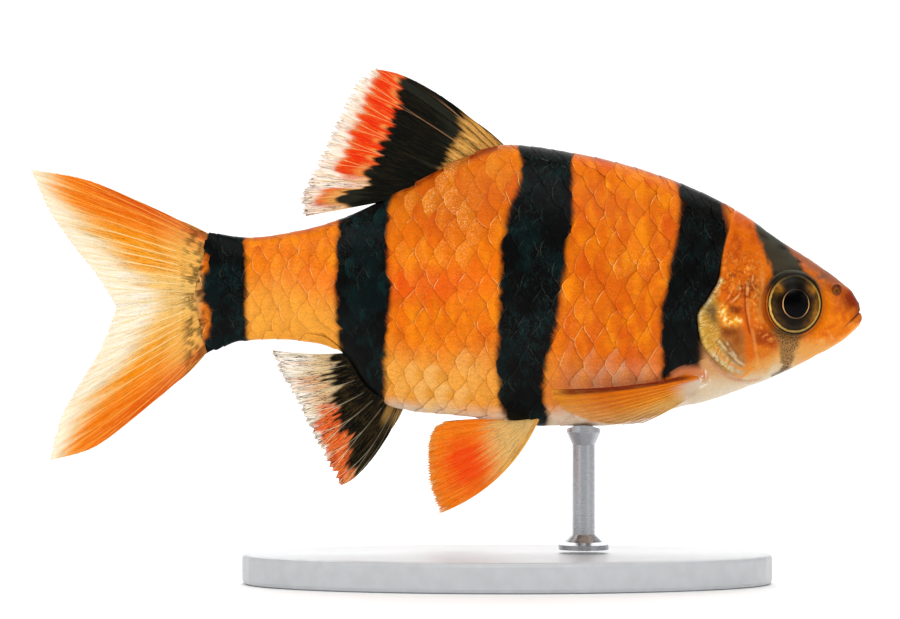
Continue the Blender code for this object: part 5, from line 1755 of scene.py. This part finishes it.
def makeEye(name, sign):
    a, b, c = head["eyeBall"]
    tilt = np.linspace(0, np.pi * eyeLook["reach"], eyeLook["rings"])
    angle = 2 * np.pi * np.arange(eyeLook["around"]) / eyeLook["around"]
    x = a * np.sin(tilt)[:, None] * np.cos(angle)[None, :]
    z = c * np.sin(tilt)[:, None] * np.sin(angle)[None, :]
    y = np.broadcast_to(b * np.cos(tilt)[:, None], x.shape).copy()
    wide = np.hypot(x / head["eyeOpening"][0], z / head["eyeOpening"][1])
    lens = np.clip(1 - (wide / eyeLook["pupil"]) ** 2, 0, 1)
    y += eyeLook["dome"] * np.sqrt(lens)
    y -= 0.05 * ramp(wide, eyeLook["pupil"], eyeLook["ring"] + 0.06) * fade(wide, 0.62, 0.9)
    y += 0.03 * bell(wide - 0.93, 0.035)
    turn = math.radians(head["eyeTurn"])
    forward = x * math.cos(turn) + y * math.sin(turn)
    out = -x * math.sin(turn) + y * math.cos(turn)
    es, eh = head["eye"]
    world = toWorld(es - forward, eh + z, sign * (head["eyeOut"] + out)).reshape(-1, 3)
    index = np.arange(x.size).reshape(x.shape)
    following = np.roll(index, -1, 1)
    quads = np.stack([index[1:-1], following[1:-1], following[2:], index[2:]], -1).reshape(-1, 4)
    # The pole ring is one point, so the first row is a fan.
    fan = [[0, int(following[1, k]), int(index[1, k])][::-1] for k in range(eyeLook["around"])]
    faces = fan + quads.tolist() + [index[-1].tolist()[::-1]]
    if sign > 0:
        faces = [f[::-1] for f in faces]
    bearing = np.broadcast_to(angle[None, :], x.shape).ravel()

    def glowing(kind):
        total = 0
        for strength, degrees, spread in eyeLook[kind]:
            away = np.angle(np.exp(1j * (bearing - math.radians(degrees))))
            total = total + strength * bell(away, math.radians(spread))
        return total

    values = {
        "wide": wide.ravel(),
        "amber": glowing("amber"),
        "rimGold": np.clip(glowing("rimGold"), 0, 1),
        "copper": np.clip(glowing("copper"), 0.02, 1),
    }
    piece = newPiece(name, world, faces, values)
    return piece


def eyeMaterial():
    made, tree, shader = newMaterial("eyeGlass", eyeLook["shader"])
    waves = noise(tree, objectPlace(tree), Scale=eyeLook["fleckSize"], Detail=4.0)
    # wide is 0 in the pupil's middle and 1 on the eye's opening; the rings waver a little.
    wide = maths(tree, "ADD", attribute(tree, "wide"), ranged(tree, waves, 0.3, 0.7, -0.008, 0.008))

    def ringMask(stops):
        return ramped(tree, wide, [(at, (level,) * 3) for at, level in stops])

    # Near-black iris, then amber, the copper ring at the pupil and the gold rim.
    colour = ramped(tree, wide, [
        (0.0, rgb(1, 1, 2)), (0.47, rgb(1, 1, 2)), (0.52, rgb(26, 20, 14)), (0.66, rgb(22, 21, 17)),
        (0.80, rgb(38, 35, 27)), (0.90, rgb(26, 23, 16)), (0.97, rgb(40, 36, 28)), (1.0, rgb(24, 20, 14)),
    ])
    flecks = ranged(tree, waves, 0.35, 0.65, 0.35, 1.0)
    ring = ringMask([(0.54, 0.0), (0.66, 0.35), (0.82, 1.0), (0.90, 0.9), (0.93, 0.0)])
    share = times(tree, flecks, attribute(tree, "amber"), ring)
    colour = mixed(tree, share, colour, rgb(184, 118, 30))
    ring = ringMask([(0.466, 0.0), (0.48, 0.05), (0.496, 0.0)])
    colour = mixed(tree, ring, colour, rgb(170, 160, 150))
    ring = ringMask([(0.464, 0.0), (0.476, 1.0), (0.488, 1.0), (0.502, 0.0)])
    colour = mixed(tree, times(tree, ring, attribute(tree, "copper")), colour, rgb(255, 186, 120))
    # The rim is finely notched.
    notched = ranged(tree, waves, 0.4, 0.6, 0.75, 1.0)
    ring = ringMask([(0.885, 0.0), (0.91, 1.0), (0.95, 1.0), (0.972, 0.0)])
    share = times(tree, ring, attribute(tree, "rimGold"), notched)
    colour = mixed(tree, share, colour, rgb(244, 196, 96))
    feed(tree, colour, shader.inputs["Base Color"])
    return made


eyeGlass = eyeMaterial()
for side, sign in (("right", -1), ("left", 1)):
    eye = makeEye("eyeball_" + side, sign)
    eye.data.materials.append(eyeGlass)
    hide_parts("eye_" + side)
print("eyes done")


standFinish = {
    "base": rgb(196, 199, 202), "baseShader": {"Roughness": 0.42, "Coat Weight": 0.1},
    "cloudSize": 900.0, "cloudShade": 0.93, "bump": 0.08, "bumpDepth": 0.00005,
    "rod": rgb(176, 178, 182), "rodRoughness": (0.2, 0.38),
    "turningMarks": (400.0, 400.0, 16000.0),
}


def standMaterials():
    base, tree, shader = newMaterial("satinBase", standFinish["baseShader"])
    clouds = noise(tree, objectPlace(tree), Scale=standFinish["cloudSize"], Detail=5.0)
    shades = [(0.35, standFinish["base"] * standFinish["cloudShade"]), (0.65, standFinish["base"])]
    feed(tree, ramped(tree, clouds, shades), shader.inputs["Base Color"])
    addBump(tree, shader, clouds, standFinish["bump"], standFinish["bumpDepth"])
    steel = {"Metallic": 1.0, "Base Color": (*standFinish["rod"], 1.0)}
    rod, tree, shader = newMaterial("turnedSteel", steel)
    stretched = node(tree, "Mapping", Vector=objectPlace(tree), Scale=standFinish["turningMarks"])
    marks = noise(tree, stretched.outputs["Vector"], Scale=1.0, Detail=2.0)
    rough = ranged(tree, marks, 0.0, 1.0, *standFinish["rodRoughness"])
    feed(tree, rough, shader.inputs["Roughness"])
    return base, rod


baseLook, rodLook = standMaterials()
for name, look in (("stand_base", baseLook), ("stand_rod", rodLook)):
    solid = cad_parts[name]
    solid.data.materials.clear()
    solid.data.materials.append(look)
print("stand dressed")


studio = {
    "floor": rgb(246, 246, 246),
    "floorSize": 2.4,
    "sweep": 0.5,
    "sweepSteps": 24,
    "skyToEye": 1.0,
    "skyToThings": 0.46,
    "skyToShine": 0.12,
    "lights": [
        # place, aim, width, power
        ((0.02, -0.36, 0.42), (0.0, 0.0, 0.02), 0.34, 1.0),
        ((0.40, -0.30, 0.16), (0.0, 0.0, 0.02), 0.24, 0.25),
        ((-0.38, -0.26, 0.14), (0.0, 0.0, 0.02), 0.24, 0.25),
        ((0.0, 0.34, 0.30), (0.0, 0.0, 0.025), 0.34, 0.5),
        ((0.0, 0.55, 1.05), (0.0, 1.2, 0.10), 1.2, 12.0),
    ],
    "cameraAway": 0.297,
    "lens": 150.0,
    "sensor": 36.0,
    "aim": (0.00042, 0.0, 0.0217),
}


def makeStudio():
    # Paper floor that curves up into a wall well behind the fish, soft lights and the camera.
    half, bend = studio["floorSize"] / 2, studio["sweep"]
    steps = studio["sweepSteps"]
    turns = [math.pi / 2 * k / steps for k in range(steps + 1)]
    profile = [(-half, 0.0)] + [(half - bend + bend * math.sin(a), bend - bend * math.cos(a)) for a in turns]
    profile += [(half, half)]
    points = [(x, y, z) for y, z in profile for x in (-half, half)]
    faces = [(2 * k, 2 * k + 1, 2 * k + 3, 2 * k + 2) for k in range(len(profile) - 1)]
    mesh = bpy.data.meshes.new("floor")
    mesh.from_pydata(points, [], faces)
    mesh.shade_smooth()
    floor = addObject("floor", mesh)
    paper = {"Roughness": 0.9, "Base Color": (*studio["floor"], 1.0)}
    floor.data.materials.append(newMaterial("paperFloor", paper)[0])
    world = bpy.data.worlds.new("studio")
    bpy.context.scene.world = world
    world.use_nodes = True
    tree = world.node_tree
    path = tree.nodes.new("ShaderNodeLightPath")
    level = ranged(
        tree, path.outputs["Is Glossy Ray"], 0.0, 1.0, studio["skyToThings"], studio["skyToShine"])
    seen = times(tree, path.outputs["Is Camera Ray"], studio["skyToEye"])
    back = tree.nodes["Background"]
    back.inputs["Color"].default_value = (1, 1, 1, 1)
    feed(tree, maths(tree, "MAXIMUM", level, seen), back.inputs["Strength"])
    for number, (place, aim, wide, power) in enumerate(studio["lights"]):
        lamp = bpy.data.lights.new("softbox%d" % number, "AREA")
        lamp.shape = "SQUARE"
        lamp.size = wide
        lamp.energy = power
        shown = addObject(lamp.name, lamp)
        shown.location = place
        shown.rotation_euler = (Vector(aim) - Vector(place)).to_track_quat("-Z", "Y").to_euler()
    lens = bpy.data.cameras.new("camera")
    lens.lens = studio["lens"]
    lens.sensor_width = studio["sensor"]
    lens.clip_start = 0.01
    camera = addObject("camera", lens)
    camera.location = Vector(studio["aim"]) + Vector((0, -studio["cameraAway"], 0))
    camera.rotation_euler = (math.pi / 2, 0, 0)
    bpy.context.scene.camera = camera
    bpy.context.scene.view_settings.view_transform = "Standard"


makeStudio()
print("studio ready")
